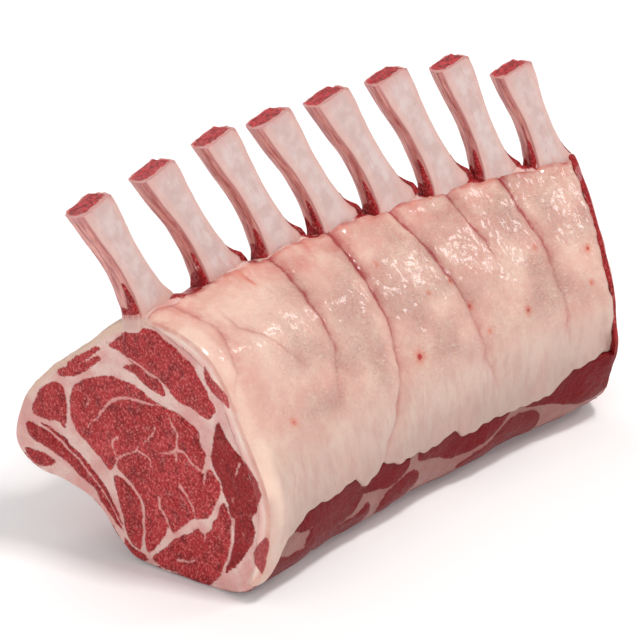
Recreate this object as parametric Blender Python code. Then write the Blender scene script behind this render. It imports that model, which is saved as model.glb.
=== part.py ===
"""Frenched rack of lamb: a body of lean meat, the fat cap over its front, and eight rib bones.

The length runs along X, the fat cap faces -Y, and the bones stand up (+Z) and lean back.
Sizes are written in millimetres and scaled to metres when a mesh is made.
"""
import math

import bmesh
import bpy
import numpy as np

MM = 0.001

# Overall sizes
LENGTH = 178.0          # along the foot of the front
BEND = math.radians(14.0)   # how far the rack turns in plan from end to end
END_SLANT = 0.30        # the far end is cut at a slant
FAR_DOME = 5.5          # the far end bulges this far
TOP_TILT = 3.0          # the near end leans out by this much at the top
CENTRE_X = 1.395        # from the middle of the foot line to the middle of the box
CENTRE_Y = 35.77

# Fat cap
FAT_THICK = 5.2
FAT_THIN = 2.4          # at its top and bottom edges
GAP = 0.35              # left between neighbouring pieces
CREASE_DEPTH = 2.0

# Bones
# Width and depth of the free part, as (part of its rise, size)
RIB_WIDTH = ((0.0, 19.6), (0.12, 14.9), (0.30, 12.6), (0.55, 12.3), (0.82, 15.6), (1.0, 16.2))
RIB_DEPTH = ((0.0, 9.4), (0.40, 7.4), (0.75, 6.7), (1.0, 6.9))
RIB_ROOT = 24.0         # how deep a bone stands in the meat
RIB_FOOT = 3.5          # it keeps its full width down to here
RIB_BOW = 0.0016        # its curve, hollow towards the back
RIB_SWAY = 0.11         # how much of its side lean comes in its upper part
RIB_SQUARE = 0.5        # power of its section: 1 is an ellipse, towards 0 a box
# Each bone: place along the length, height where it leaves the meat, rise of its free part, size,
# and lean along the rack and backwards for each mm of rise
RIBS = (
    (5.8, 89.1, 38.9, 1.08, -0.35, 0.32),
    (34.7, 90.3, 40.0, 1.05, -0.42, 0.31),
    (59.5, 90.7, 41.9, 1.01, -0.38, 0.31),
    (82.5, 90.9, 41.4, 1.02, -0.43, 0.30),
    (104.8, 91.3, 41.1, 1.04, -0.42, 0.30),
    (126.8, 90.3, 41.7, 1.00, -0.36, 0.31),
    (147.0, 88.2, 41.1, 0.95, -0.24, 0.30),
    (168.6, 85.5, 35.9, 1.00, -0.24, 0.29),
)

FAT_UPPER = 0.020       # the cap's upper edge, as a part of the way round the outline
BOTTOM_END = 0.64       # the underside ends here and the back begins
STATIONS = np.linspace(0.0, 1.0, 47)

# Outline of the cross-section at the near end, the middle and the far end, as (depth, height).
# It starts at the crest where the bones come out, then goes down the front, under and up the back.
SECTIONS = (
    # crest and front
    ((41.5, 89.2), (33.0, 90.4), (22.0, 86.0)),
    ((31.5, 91.0), (24.6, 88.8), (16.0, 82.6)),
    ((22.0, 89.2), (16.4, 83.6), (10.0, 76.8)),
    ((13.0, 83.8), (9.2, 76.2), (4.0, 69.4)),
    ((7.6, 75.0), (3.0, 67.8), (-1.6, 61.4)),
    ((3.6, 63.2), (-2.0, 58.6), (-6.4, 53.6)),
    ((-1.6, 52.4), (-5.8, 49.4), (-9.0, 46.4)),
    ((-5.8, 43.0), (-7.8, 40.4), (-9.6, 38.6)),
    ((-7.8, 33.6), (-8.2, 31.0), (-8.8, 29.6)),
    ((-7.2, 22.0), (-6.8, 20.4), (-7.0, 19.6)),
    # toe, underside and heel
    ((-4.0, 9.6), (-4.2, 9.2), (-4.0, 10.2)),
    ((3.0, 2.2), (2.0, 2.8), (2.0, 4.2)),
    ((12.0, 0.0), (11.4, 0.0), (10.0, 1.0)),
    ((24.0, 0.0), (23.0, 0.0), (19.0, 0.0)),
    ((36.0, 0.2), (35.0, 0.0), (28.0, 0.0)),
    ((46.5, 1.2), (46.5, 0.0), (37.0, 0.0)),
    ((53.6, 7.4), (58.0, 1.0), (47.0, 1.4)),
    ((61.6, 16.2), (66.4, 7.4), (54.6, 7.4)),
    # back
    ((73.0, 20.6), (72.4, 16.0), (59.4, 15.0)),
    ((86.0, 22.4), (75.0, 25.4), (60.2, 23.4)),
    ((94.4, 28.4), (73.0, 35.0), (57.4, 33.0)),
    ((94.4, 37.4), (68.0, 44.6), (52.0, 43.4)),
    ((89.4, 50.2), (61.8, 54.2), (46.0, 53.6)),
    ((80.2, 60.8), (55.4, 63.4), (40.2, 63.6)),
    ((68.4, 70.6), (48.6, 72.8), (34.6, 73.6)),
    ((54.5, 82.6), (41.4, 82.6), (28.8, 82.0)),
)

# Lower edge of the fat cap, as (place along the length, height above the table)
FAT_EDGE = (
    (0.00, 5.0), (0.015, 7.0), (0.05, 22.0), (0.10, 27.0), (0.16, 27.5), (0.25, 28.0),
    (0.285, 24.0), (0.335, 27.5), (0.40, 24.5), (0.45, 23.5), (0.54, 25.0), (0.58, 21.5),
    (0.69, 23.0), (0.74, 21.5), (0.81, 22.0), (0.87, 27.5), (1.00, 30.0),
)

# Far edge of the fat cap, as (part of the way round the outline, place along the length)
FAT_END = ((0.0, 0.982), (0.05, 0.984), (0.12, 0.989), (0.17, 0.982), (0.22, 0.989), (0.36, 0.989))

# Creases down the fat cap, as (place along, height) from the top to the bottom, and how deep
CREASES = (
    ((0.285, 91.0), (0.274, 80.0), (0.279, 70.0), (0.253, 57.0), 0.7),
    ((0.425, 91.0), (0.426, 70.0), (0.419, 54.0), (0.339, 29.0), 1.0),
    ((0.565, 91.0), (0.611, 72.0), (0.641, 54.0), (0.669, 35.0), 0.8),
    ((0.693, 91.0), (0.711, 83.0), (0.731, 76.0), (0.733, 70.0), 0.7),
    ((0.816, 90.0), (0.852, 73.0), (0.869, 56.0), (0.872, 42.0), 0.8),
)


def station(t):
    """Foot line of the front at t, from 0 at the near end to 1 at the far end, and its heading."""
    turn = BEND * (0.5 - t)
    radius = LENGTH / BEND
    return -radius * np.sin(turn), radius * (np.cos(turn) - 1.0), turn


def place(t, w, z, tilt=TOP_TILT):
    """A point at t, w behind the foot line and z above the table."""
    x, y, turn = station(t)
    along = END_SLANT * t * t * w - tilt * smooth((z - 60.0) / 26.0) * np.clip(1 - t / 0.12, 0, 1)
    return np.stack([
        x + np.cos(turn) * along - np.sin(turn) * w - CENTRE_X,
        y + np.sin(turn) * along + np.cos(turn) * w - CENTRE_Y,
        z + 0.0 * x], axis=-1)


def section(t, u):
    """Outline of the whole body at t. u goes once round it, from 0 at the crest."""
    table = np.array(SECTIONS)
    t = np.asarray(t, float)[..., None]
    near, middle, far = (1 - t) * (1 - 2 * t), 4 * t * (1 - t), t * (2 * t - 1)
    count = len(table)
    place_in = (np.asarray(u, float) % 1.0) * count
    first = np.floor(place_in).astype(int)
    f = (place_in - first)[..., None]
    total = 0.0
    weights = (-0.5 * f + f ** 2 - 0.5 * f ** 3, 1 - 2.5 * f ** 2 + 1.5 * f ** 3,
               0.5 * f + 2 * f ** 2 - 1.5 * f ** 3, -0.5 * f ** 2 + 0.5 * f ** 3)
    for step, weight in zip((-1, 0, 1, 2), weights):
        picked = table[(first + step) % count]
        point = near * picked[..., 0, :] + middle * picked[..., 1, :] + far * picked[..., 2, :]
        total = total + weight * point
    return total[..., 0], total[..., 1]


def outward(t, u):
    """Outward direction of the outline at t and u."""
    w1, z1 = section(t, np.asarray(u) - 0.004)
    w2, z2 = section(t, np.asarray(u) + 0.004)
    dw, dz = w2 - w1, z2 - z1
    size = np.hypot(dw, dz)
    return dz / size, -dw / size


def bump(x):
    return np.exp(-x * x)


def smooth(x):
    x = np.clip(x, 0.0, 1.0)
    return x * x * (3 - 2 * x)


def crease_depth(t, z):
    """0 away from the creases of the fat cap, up to 1 in the deepest."""
    depth = np.zeros(np.broadcast(t, z).shape)
    for top, high, low, bottom, strength in CREASES:
        knots = np.array([bottom, low, high, top])
        line = np.interp(z, knots[:, 1], knots[:, 0])
        fade = smooth((z - bottom[1] + 8) / 10) * smooth((top[1] + 6 - z) / 8)
        across = (t - line) * LENGTH / 3.4
        depth = np.maximum(depth, strength * fade * bump(across))
    return depth


def rib_at(i):
    """Bone i: place along the length, depth and height where it leaves the meat, its rise, its
    size against the first one, and how far it leans along and back for each mm of rise."""
    reach, z, rise, size, side, lean = RIBS[i]
    t = reach / LENGTH
    return t, 45.0 - 21.0 * t, z, rise, size, side, lean


def raise_near_bones(t, z_now, w_now):
    """The meat and the fat climb a little up each bone, most on the side away from the near end."""
    lift = np.zeros(np.broadcast(t, z_now).shape)
    for i in range(len(RIBS)):
        rt, rw, rz = rib_at(i)[:3]
        for beyond, height, reach in ((0.0, 2.4, 8.0), (6.5, 3.0, 5.5)):
            far = np.hypot((t - rt) * LENGTH - beyond, (w_now - rw) * 0.8)
            lift = np.maximum(lift, height * bump(far / reach))
    return lift * smooth((z_now - 70.0) / 12.0)


def back_ridges(t, z, u):
    """The bones go on down the back under a thin skin, as low ridges."""
    total = np.zeros(np.broadcast(t, z).shape)
    for i in range(1, len(RIBS)):
        rt, rw, rz = rib_at(i)[:3]
        line = rt * LENGTH + 0.12 * (rz - z)
        total = np.maximum(total, bump((t * LENGTH - line) / 6.0))
    on_back = smooth((u - 0.66) / 0.05) * smooth((0.99 - u) / 0.04)
    return (total * 2.2 - 0.8) * on_back * smooth((t - 0.05) / 0.08)


def front_muscle(t, z, u):
    """Slanting strips of lean below the fat."""
    on_front = smooth((u - 0.30) / 0.05) * smooth((0.47 - u) / 0.05)
    return 0.7 * on_front * np.sin((t * LENGTH - 0.9 * z) / 7.5) * smooth((t - 0.02) / 0.06)


def fat_end(u):
    """The fat cap stops a little short of the far end, and sooner at the bottom."""
    u = (np.asarray(u, float) + 0.5) % 1.0 - 0.5
    return np.interp(u, [row[0] for row in FAT_END], [row[1] for row in FAT_END])


def fat_lower(t):
    """Place round the outline of the fat's ragged lower edge at t."""
    table = np.array(FAT_EDGE)
    heights = np.interp(t, table[:, 0], table[:, 1])
    steps = np.linspace(0.28, 0.45, 60)
    found = []
    for one, height in zip(t, heights):
        w, z = section(np.full(60, one), steps)
        found.append(np.interp(-height, -z, steps))
    return np.array(found)


def fat_thickness(share):
    """Thickness across the cap, share 0 at its upper edge and 1 at its lower edge."""
    edge = smooth(share / 0.12) * smooth((1.0 - share) / 0.10)
    return FAT_THIN + (FAT_THICK - FAT_THIN) * edge


def surface(t, u, sunk=0.0, fat=False):
    """A point of the outside at t and u, or sunk below it. The rim of the near end is rounded."""
    t, u, sunk = np.broadcast_arrays(np.asarray(t, float), u, sunk)
    w, z = section(t, u)
    nw, nz = outward(t, u)
    if fat:
        relief = (0.5 - CREASE_DEPTH * crease_depth(t, z)) * smooth(t / 0.03)
    else:
        relief = back_ridges(t, z, u) + front_muscle(t, z, u)
        nub = bump(np.hypot((t - 0.995) * LENGTH / 5.0, (z - 31.0) / 7.0))
        relief = relief + 3.2 * nub * smooth((0.45 - u) / 0.05)
    relief = np.where(sunk > 0, 0.0, relief) - sunk
    relief = relief - 0.5 * bump(t * LENGTH / 0.9)
    lift = raise_near_bones(t, z, w)
    return place(t, w + nw * relief, np.maximum(z + nz * relief + lift, 0.0))


def material(name, colour, roughness):
    made = bpy.data.materials.new(name)
    made.use_nodes = True
    shader = made.node_tree.nodes["Principled BSDF"]
    shader.inputs["Base Color"].default_value = (*colour, 1.0)
    shader.inputs["Roughness"].default_value = roughness
    shader.inputs["Metallic"].default_value = 0.0
    return made


def add_object(name, points, faces, colour, smooth_angle=50.0):
    """One closed mesh, in metres, with its faces pointing out."""
    mesh = bpy.data.meshes.new(name)
    mesh.from_pydata([tuple(p) for p in np.asarray(points) * MM], [], faces)
    made = bmesh.new()
    made.from_mesh(mesh)
    bmesh.ops.remove_doubles(made, verts=made.verts, dist=0.00001)
    bmesh.ops.dissolve_degenerate(made, dist=0.00001, edges=made.edges)
    bmesh.ops.triangulate(made, faces=made.faces)
    bmesh.ops.recalc_face_normals(made, faces=made.faces)
    made.to_mesh(mesh)
    made.free()
    mesh.shade_smooth()
    mesh.set_sharp_from_angle(angle=math.radians(smooth_angle))
    item = bpy.data.objects.new(name, mesh)
    bpy.context.scene.collection.objects.link(item)
    mesh.materials.append(colour)
    return item


def grid_faces(rows, columns, start=0):
    """Quads between closed rings of points."""
    faces = []
    for row in range(rows - 1):
        for column in range(columns):
            a = start + row * columns + column
            b = start + row * columns + (column + 1) % columns
            faces.append((a, a + columns, b + columns, b))
    return faces


def around(t, centre, points):
    """Angle and radius of an outline about a centre, made to go round without turning back."""
    w, z = points[:, 0] - centre[0], points[:, 1] - centre[1]
    angle = np.unwrap(np.arctan2(z, w))
    order = np.sort(angle)
    radius = np.hypot(w, z)
    return order, (np.roll(radius, 1) + radius + np.roll(radius, -1)) / 3.0


def end_rings(t, centre, outline, shares, bulge):
    """Rings that close an end, from just inside the outline to the centre. bulge(w, z, share)
    is how far the end stands out there."""
    angle, radius = around(t, centre, outline)
    if outline[1, 0] < outline[0, 0]:
        angle = np.sort(angle)
    rings = []
    x, y, turn = station(np.array([t]))
    ahead = np.array([np.cos(turn[0]), np.sin(turn[0]), 0.0])
    for share in shares:
        w = centre[0] + share * radius * np.cos(angle)
        z = centre[1] + share * radius * np.sin(angle)
        flat = place(np.full(len(w), t), w, z)
        rings.append(flat + ahead * bulge(w, z, share)[:, None])
    return rings


def near_bulge(w, z, share):
    """The cut near face: the eye and the muscle above it stand out from the seams of fat."""
    eye = 1.3 * bump(np.hypot((w - 36.0) / 22.0, (z - 46.0) / 20.0))
    cap = 0.7 * bump(np.hypot((w - 24.0) / 16.0, (z - 70.0) / 7.0))
    hollow = -0.9 * bump(np.hypot((w - 66.0) / 12.0, (z - 36.0) / 16.0))
    return -(eye + cap + hollow) * smooth((1.0 - share) / 0.15)


def far_bulge(w, z, share):
    return FAR_DOME * np.sqrt(np.clip(1.0 - share ** 2.6, 0.0, 1.0)) + 0 * w


def columns_of_meat():
    """Round the meat: (where u comes from, share, how the fat's bed is sunk)."""
    edge = 0.0035
    columns = [("u", 0.0, 0), ("u", 0.010, 0), ("u", FAT_UPPER - edge, 0)]
    columns += [("upper", -edge, 1)]
    columns += [("bed", share, 1) for share in np.linspace(0.0, 1.0, 10)]
    columns += [("lower", edge, 1), ("lower", edge, 0)]
    columns += [("bottom", share, 0) for share in np.linspace(0.0, 1.0, 9)[1:]]
    columns += [("u", u, 0) for u in np.linspace(BOTTOM_END, 1.0, 20)[1:-1]]
    return columns


def place_columns(columns, taus):
    """u, t and depth below the outside for each row and column."""
    rows = []
    for tau, on_fat in taus:
        lower = fat_lower(np.array([min(tau, 1.0) * 0.972]))[0]
        us, sunks = [], []
        for kind, share, bed in columns:
            if kind == "u":
                u = share
            elif kind == "upper":
                u = FAT_UPPER + share
            elif kind == "bed":
                u = FAT_UPPER + share * (lower - FAT_UPPER)
            elif kind == "lower":
                u = lower + share
            else:
                u = lower + 0.0035 + share * (BOTTOM_END - lower - 0.0035)
            across = (u - FAT_UPPER) / (lower - FAT_UPPER)
            us.append(u)
            sunks.append(fat_thickness(across) + GAP if bed and on_fat else 0.0)
        us = np.array(us)
        end = fat_end(us) + GAP / LENGTH
        ts = tau * end if tau <= 1.0 else end + (tau - 1.0) * (1.0 - end)
        rows.append((ts, us, np.array(sunks)))
    return rows


def make_meat(colour):
    columns = columns_of_meat()
    taus = [(tau, True) for tau in STATIONS] + [(1.0, False), (1.5, False), (2.0, False)]
    rows = place_columns(columns, taus)
    rings = [surface(t, u, sunk) for t, u, sunk in rows]
    outlines = []
    for t, u, sunk in (rows[0], rows[-1]):
        w, z = section(t, u)
        nw, nz = outward(t, u)
        outlines.append(np.stack([w - nw * (sunk + 1.0), np.maximum(z - nz * (sunk + 1.0), 0.4)], -1))
    near = end_rings(0.0, (40.0, 44.0), outlines[0], (0.94, 0.82, 0.66, 0.46, 0.24), near_bulge)
    far = end_rings(1.0, (26.0, 43.0), outlines[1], (0.96, 0.84, 0.62, 0.34), far_bulge)
    rings = near[::-1] + rings + far
    count = len(columns)
    middles = [np.mean(rings[0], axis=0), np.mean(rings[-1], axis=0)]
    points = np.concatenate(rings + [np.array(middles)])
    faces = grid_faces(len(rings), count)
    first, last = len(points) - 2, len(points) - 1
    start = (len(rings) - 1) * count
    for column in range(count):
        after = (column + 1) % count
        faces.append((first, column, after))
        faces.append((last, start + after, start + column))
    return add_object("meat", points, faces, colour)


def make_fat(colour):
    """The cap is a closed shell: rings across it, each down the outside and back up the inside.
    Each end of the shell is one face between the outside and the inside."""
    shares = np.linspace(0.0, 1.0, 19)
    inner = np.linspace(1.0, 0.0, 10)
    rings = []
    for tau in STATIONS:
        lower = fat_lower(np.array([tau * 0.972]))[0]
        us = FAT_UPPER + shares * (lower - FAT_UPPER)
        back = FAT_UPPER + inner * (lower - FAT_UPPER)
        outer_points = surface(tau * fat_end(us), us, 0.0, True)
        inner_points = surface(tau * fat_end(back), back, fat_thickness(inner))
        rings.append(np.concatenate([outer_points, inner_points]))
    count = len(rings[0])
    points = np.concatenate(rings)
    faces = grid_faces(len(rings), count)
    for start in (0, (len(rings) - 1) * count):
        faces.append(tuple(range(start, start + count)))
    return add_object("fat_cap", points, faces, colour)


def rib_line(i, rise):
    """A point of a bone's middle line, at a rise above its exit."""
    t, w, z, full, size, side, lean = rib_at(i)
    turn = BEND * (0.5 - t)
    ahead = np.array([math.cos(turn), math.sin(turn), 0.0])
    behind = np.array([-math.sin(turn), math.cos(turn), 0.0])
    exit_at = place(np.array([t]), np.array([w]), np.array([z]), 0.0)[0]
    back = (lean - RIB_BOW * full) * rise + RIB_BOW * rise ** 2
    sideways = side * rise * (1.0 - RIB_SWAY + RIB_SWAY * rise / full)
    return exit_at + ahead * sideways + behind * back + np.array([0.0, 0.0, rise])


def make_rib(i, colour, grow=0.0):
    """One bone: a flat bar, waisted, spread at its base and wider again at its sawn tip."""
    t, w, z, full, size, side, lean = rib_at(i)
    heads = np.array([math.cos(BEND * (0.5 - t)), math.sin(BEND * (0.5 - t)), 0.0])
    foot = 0.5 if i == 0 else RIB_FOOT      # the first one stands too near the cut end to go wide
    rises = np.array([-RIB_ROOT, -foot - 6.5, -foot, 0.0] + [full * up for up in (0.06, 0.12, 0.21, 0.30, 0.43, 0.55,
                                                                         0.69, 0.82, 1.0)])
    sides = 12
    angles = (np.arange(sides) + 0.5) * 2.0 * math.pi / sides
    rings = []
    for k, rise in enumerate(rises):
        middle = rib_line(i, rise)
        step = rib_line(i, rise + 0.5) - rib_line(i, rise - 0.5)
        along = step / np.linalg.norm(step)
        depth_way = np.cross(heads, along)
        depth_way = depth_way / np.linalg.norm(depth_way)
        wide_way = np.cross(along, depth_way)
        up = np.clip(rise / full, 0.0, 1.0)
        root = np.interp(rise, (-RIB_ROOT, -foot - 6.5, -foot), (0.62, 0.74, 1.0))
        wide = size * root * np.interp(up, *zip(*RIB_WIDTH))
        deep = size * root * np.interp(up, *zip(*RIB_DEPTH))
        if grow:
            middle = middle + along * (grow if k == len(rises) - 1 else 0.0)
            middle = middle - along * (grow if k == 0 else 0.0)
        ca, sa = np.cos(angles), np.sin(angles)
        c = np.sign(ca) * np.abs(ca) ** RIB_SQUARE * (wide / 2 + grow)
        s = np.sign(sa) * np.abs(sa) ** RIB_SQUARE * (deep / 2 + grow)
        rings.append(middle + c[:, None] * wide_way + s[:, None] * depth_way)
    # the tip is cut nearly level, and its rim and the hidden root's are slightly rounded
    tip = rib_line(i, full)
    along = tip - rib_line(i, full - 1.0)
    cut = np.array([-0.15, 0.06, 1.0])
    for k, share in ((-1, 1.0), (-2, 0.5)):
        middle = rings[k].mean(axis=0)
        slide = ((middle - rings[k]) @ cut) / (along @ cut)
        rings[k] = rings[k] + share * slide[:, None] * along
    for k, way in ((0, -1.0), (-1, 1.0)):
        ring = rings[k]
        middle = ring.mean(axis=0)
        inset = middle + (ring - middle) * 0.86 + along * 0.5 * way
        rings = [inset] + rings if k == 0 else rings + [inset]
    points = np.concatenate(rings)
    faces = grid_faces(len(rings), sides)
    last = (len(rings) - 1) * sides
    faces.append(tuple(range(sides)))
    faces.append(tuple(range(last + sides - 1, last - 1, -1)))
    name = "rib_%d" % (i + 1) if not grow else "rib_socket_%d" % (i + 1)
    return add_object(name, points, faces, colour, 60.0)


def cut_sockets(item, cutters):
    for cutter in cutters:
        cut = item.modifiers.new(cutter.name, "BOOLEAN")
        cut.operation = "DIFFERENCE"
        cut.solver = "EXACT"
        cut.object = cutter


def main():
    for item in list(bpy.data.objects):
        bpy.data.objects.remove(item, do_unlink=True)
    lean = material("lean", (0.36, 0.045, 0.05), 0.42)
    fat = material("fat", (0.78, 0.55, 0.46), 0.40)
    bone = material("bone", (0.70, 0.50, 0.47), 0.38)
    meat = make_meat(lean)
    cap = make_fat(fat)
    cutters = []
    for i in range(len(RIBS)):
        make_rib(i, bone)
        cutter = make_rib(i, bone, GAP)
        cutter.hide_render = True
        cutter.display_type = "WIRE"
        cutters.append(cutter)
    cut_sockets(meat, cutters)
    cut_sockets(cap, cutters)


main()
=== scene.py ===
# Raw frenched rack of lamb with eight ribs, on a plain pale floor.
# Everything is in millimetres until a mesh is made, and the frame's pieces are only replaced, never moved.
import bmesh
import bpy
import math
import numpy as np
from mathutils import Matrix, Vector
from mathutils.geometry import delaunay_2d_cdt


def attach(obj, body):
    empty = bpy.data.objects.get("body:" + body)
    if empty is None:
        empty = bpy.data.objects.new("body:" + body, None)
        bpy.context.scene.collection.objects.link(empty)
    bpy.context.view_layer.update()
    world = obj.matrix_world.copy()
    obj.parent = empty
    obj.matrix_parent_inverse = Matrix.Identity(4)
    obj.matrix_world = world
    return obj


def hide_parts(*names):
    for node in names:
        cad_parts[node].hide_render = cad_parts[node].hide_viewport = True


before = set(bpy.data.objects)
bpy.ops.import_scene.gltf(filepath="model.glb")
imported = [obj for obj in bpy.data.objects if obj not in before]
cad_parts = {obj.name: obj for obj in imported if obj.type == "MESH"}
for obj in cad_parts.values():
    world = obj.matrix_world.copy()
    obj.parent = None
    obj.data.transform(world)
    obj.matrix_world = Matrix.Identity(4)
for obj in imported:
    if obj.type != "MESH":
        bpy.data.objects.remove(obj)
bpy.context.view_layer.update()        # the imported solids: meat, fat_cap and rib_1 to rib_8
mm = 0.001
outside = -9.0          # well outside any muscle or vein

# camera and light

cameraSizes = {
    "place": (-1.0301, -0.9078, 0.7237),
    "look": (0.67107, 0.59791, -0.43837),
    "lens": 257.9,
}
cameraData = bpy.data.cameras.new("camera")
cameraData.lens = cameraSizes["lens"]
cameraData.clip_start = 0.05
camera = bpy.data.objects.new("camera", cameraData)
camera.location = cameraSizes["place"]
camera.rotation_euler = Vector(cameraSizes["look"]).to_track_quat("-Z", "Y").to_euler()
bpy.context.scene.collection.objects.link(camera)
bpy.context.scene.camera = camera

lights = {
    # name: (place, aimed at, width, watts, colour)
    "key": ((0.10, -0.50, 1.25), (0.0, 0.0, 0.05), 0.20, 8.0, (1.0, 0.985, 0.97)),
    "glint": ((0.87, -0.66, 0.78), (0.0, 0.0, 0.06), 0.20, 2.0, (1.0, 0.99, 0.98)),
    "fill": ((-1.2, -0.5, 0.55), (0.0, 0.0, 0.05), 0.8, 3.4, (1.0, 0.99, 0.98)),
    "back": ((0.3, 1.0, 1.0), (0.0, 0.0, 0.08), 0.8, 5.0, (1.0, 1.0, 1.0)),
}
for name, (where, aim, width, watts, tint) in lights.items():
    data = bpy.data.lights.new(name, "AREA")
    data.size = width
    data.energy = watts
    data.color = tint
    lamp = bpy.data.objects.new(name, data)
    lamp.location = where
    lamp.rotation_euler = (Vector(aim) - Vector(where)).to_track_quat("-Z", "Y").to_euler()
    bpy.context.scene.collection.objects.link(lamp)
world = bpy.data.worlds.new("studio")
bpy.context.scene.world = world
world.use_nodes = True
world.node_tree.nodes["Background"].inputs["Color"].default_value = (1.0, 1.0, 1.0, 1.0)
world.node_tree.nodes["Background"].inputs["Strength"].default_value = 0.40
bpy.context.scene.view_settings.view_transform = "Standard"


# colours and nodes

def linear(hexColour):
    parts = [int(hexColour[i:i + 2], 16) / 255.0 for i in (1, 3, 5)]
    return tuple(c / 12.92 if c <= 0.04045 else ((c + 0.055) / 1.055) ** 2.4 for c in parts) + (1.0,)


def addNode(tree, kind, feeds=None, out=None, **settings):
    # a node with its settings, inputs and links: the node, or one of its outputs
    node = tree.nodes.new(kind)
    for name, value in settings.items():
        setattr(node, name, value)
    for socket, value in (feeds or {}).items():
        if isinstance(value, bpy.types.NodeSocket):
            tree.links.new(value, node.inputs[socket])
        else:
            node.inputs[socket].default_value = value
    return node if out is None else node.outputs[out]


def newMaterial(name, values):
    made = bpy.data.materials.new(name)
    made.use_nodes = True
    shader = made.node_tree.nodes["Principled BSDF"]
    for socket, value in values.items():
        shader.inputs[socket].default_value = value
    return made, made.node_tree, shader


# the shape that all pieces share

rack = {
    "length": 178.0,       # along the foot of the front
    "turn": math.radians(14.0),
    "endSlant": 0.30,
    "farDome": 5.5,
    "topTilt": 3.0,
    "middle": (1.395, 35.77),
    "gap": 0.35,
    "capUpper": 0.020,     # upper edge of the fat, as a part of the way round
    "capRead": 0.972,      # part of the length that the fat's lower edge is read over
    "stripEnds": 0.425,    # lower edge of the strip of meat under the fat, on the way round
    "undersideEnds": 0.64,
    "girth": 270.0,        # once round the outline
    "boneRow": (45.0, 21.0),      # how far back the bones stand at the near end, and how much less far on
}
outlines = (
    ((41.5, 89.2), (33.0, 90.4), (22.0, 86.0)), ((31.5, 91.0), (24.6, 88.8), (16.0, 82.6)),
    ((22.0, 89.2), (16.4, 83.6), (10.0, 76.8)), ((13.0, 83.8), (9.2, 76.2), (4.0, 69.4)),
    ((7.6, 75.0), (3.0, 67.8), (-1.6, 61.4)), ((3.6, 63.2), (-2.0, 58.6), (-6.4, 53.6)),
    ((-1.6, 52.4), (-5.8, 49.4), (-9.0, 46.4)), ((-5.8, 43.0), (-7.8, 40.4), (-9.6, 38.6)),
    ((-7.8, 33.6), (-8.2, 31.0), (-8.8, 29.6)), ((-7.2, 22.0), (-6.8, 20.4), (-7.0, 19.6)),
    ((-4.0, 9.6), (-4.2, 9.2), (-4.0, 10.2)), ((3.0, 2.2), (2.0, 2.8), (2.0, 4.2)),
    ((12.0, 0.0), (11.4, 0.0), (10.0, 1.0)), ((24.0, 0.0), (23.0, 0.0), (19.0, 0.0)),
    ((36.0, 0.2), (35.0, 0.0), (28.0, 0.0)), ((46.5, 1.2), (46.5, 0.0), (37.0, 0.0)),
    ((53.6, 7.4), (58.0, 1.0), (47.0, 1.4)), ((61.6, 16.2), (66.4, 7.4), (54.6, 7.4)),
    ((73.0, 20.6), (72.4, 16.0), (59.4, 15.0)), ((86.0, 22.4), (75.0, 25.4), (60.2, 23.4)),
    ((94.4, 28.4), (73.0, 35.0), (57.4, 33.0)), ((94.4, 37.4), (68.0, 44.6), (52.0, 43.4)),
    ((89.4, 50.2), (61.8, 54.2), (46.0, 53.6)), ((80.2, 60.8), (55.4, 63.4), (40.2, 63.6)),
    ((68.4, 70.6), (48.6, 72.8), (34.6, 73.6)), ((54.5, 82.6), (41.4, 82.6), (28.8, 82.0)),
)
# each bone: reach along the rack, height and rise of its free part, size, side lean, back lean
bones = (
    (5.8, 89.1, 38.9, 1.08, -0.35, 0.32), (34.7, 90.3, 40.0, 1.05, -0.42, 0.31),
    (59.5, 90.7, 41.9, 1.01, -0.38, 0.31), (82.5, 90.9, 41.4, 1.02, -0.43, 0.30),
    (104.8, 91.3, 41.1, 1.04, -0.42, 0.30), (126.8, 90.3, 41.7, 1.00, -0.36, 0.31),
    (147.0, 88.2, 41.1, 0.95, -0.24, 0.30), (168.6, 85.5, 35.9, 1.00, -0.24, 0.29),
)


def bump(x):
    return np.exp(-x * x)


def smooth(x):
    x = np.clip(x, 0.0, 1.0)
    return x * x * (3 - 2 * x)


def lumps(points, size, seed):
    # smooth noise from -1 to 1, with lumps of the given size in mm
    at = np.asarray(points, float) / size + 37.0 * seed
    cell = np.floor(at).astype(np.int64)
    f = at - cell
    f = f * f * (3 - 2 * f)
    total = 0.0
    for corner in np.ndindex(2, 2, 2):
        key = cell + np.array(corner)
        # large odd numbers scatter the cells' values
        mixed = (key[..., 0] * 73856093) ^ (key[..., 1] * 19349663) ^ (key[..., 2] * 83492791)
        mixed = mixed ^ (seed * 2654435)
        mixed = (mixed ^ (mixed >> 13)) * 1274126177 & 0x7FFFFFFF
        value = ((mixed >> 8) & 0xFFFF) / 32767.5 - 1.0
        weight = np.prod(np.where(np.array(corner) == 1, f, 1 - f), axis=-1)
        total = total + value * weight
    return total


def place(t, w, z, tilt=rack["topTilt"]):
    # a point t along the rack, w behind the foot of its front, and z above the table
    turn = rack["turn"] * (0.5 - t)
    radius = rack["length"] / rack["turn"]
    along = rack["endSlant"] * t * t * w - tilt * smooth((z - 60.0) / 26.0) * np.clip(1 - t / 0.12, 0, 1)
    return np.stack([
        -radius * np.sin(turn) + np.cos(turn) * along - np.sin(turn) * w - rack["middle"][0],
        radius * (np.cos(turn) - 1.0) + np.sin(turn) * along + np.cos(turn) * w - rack["middle"][1],
        z + 0.0 * turn], axis=-1)


def heading(t):
    turn = rack["turn"] * (0.5 - t)
    return np.array([math.cos(turn), math.sin(turn), 0.0])


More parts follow.
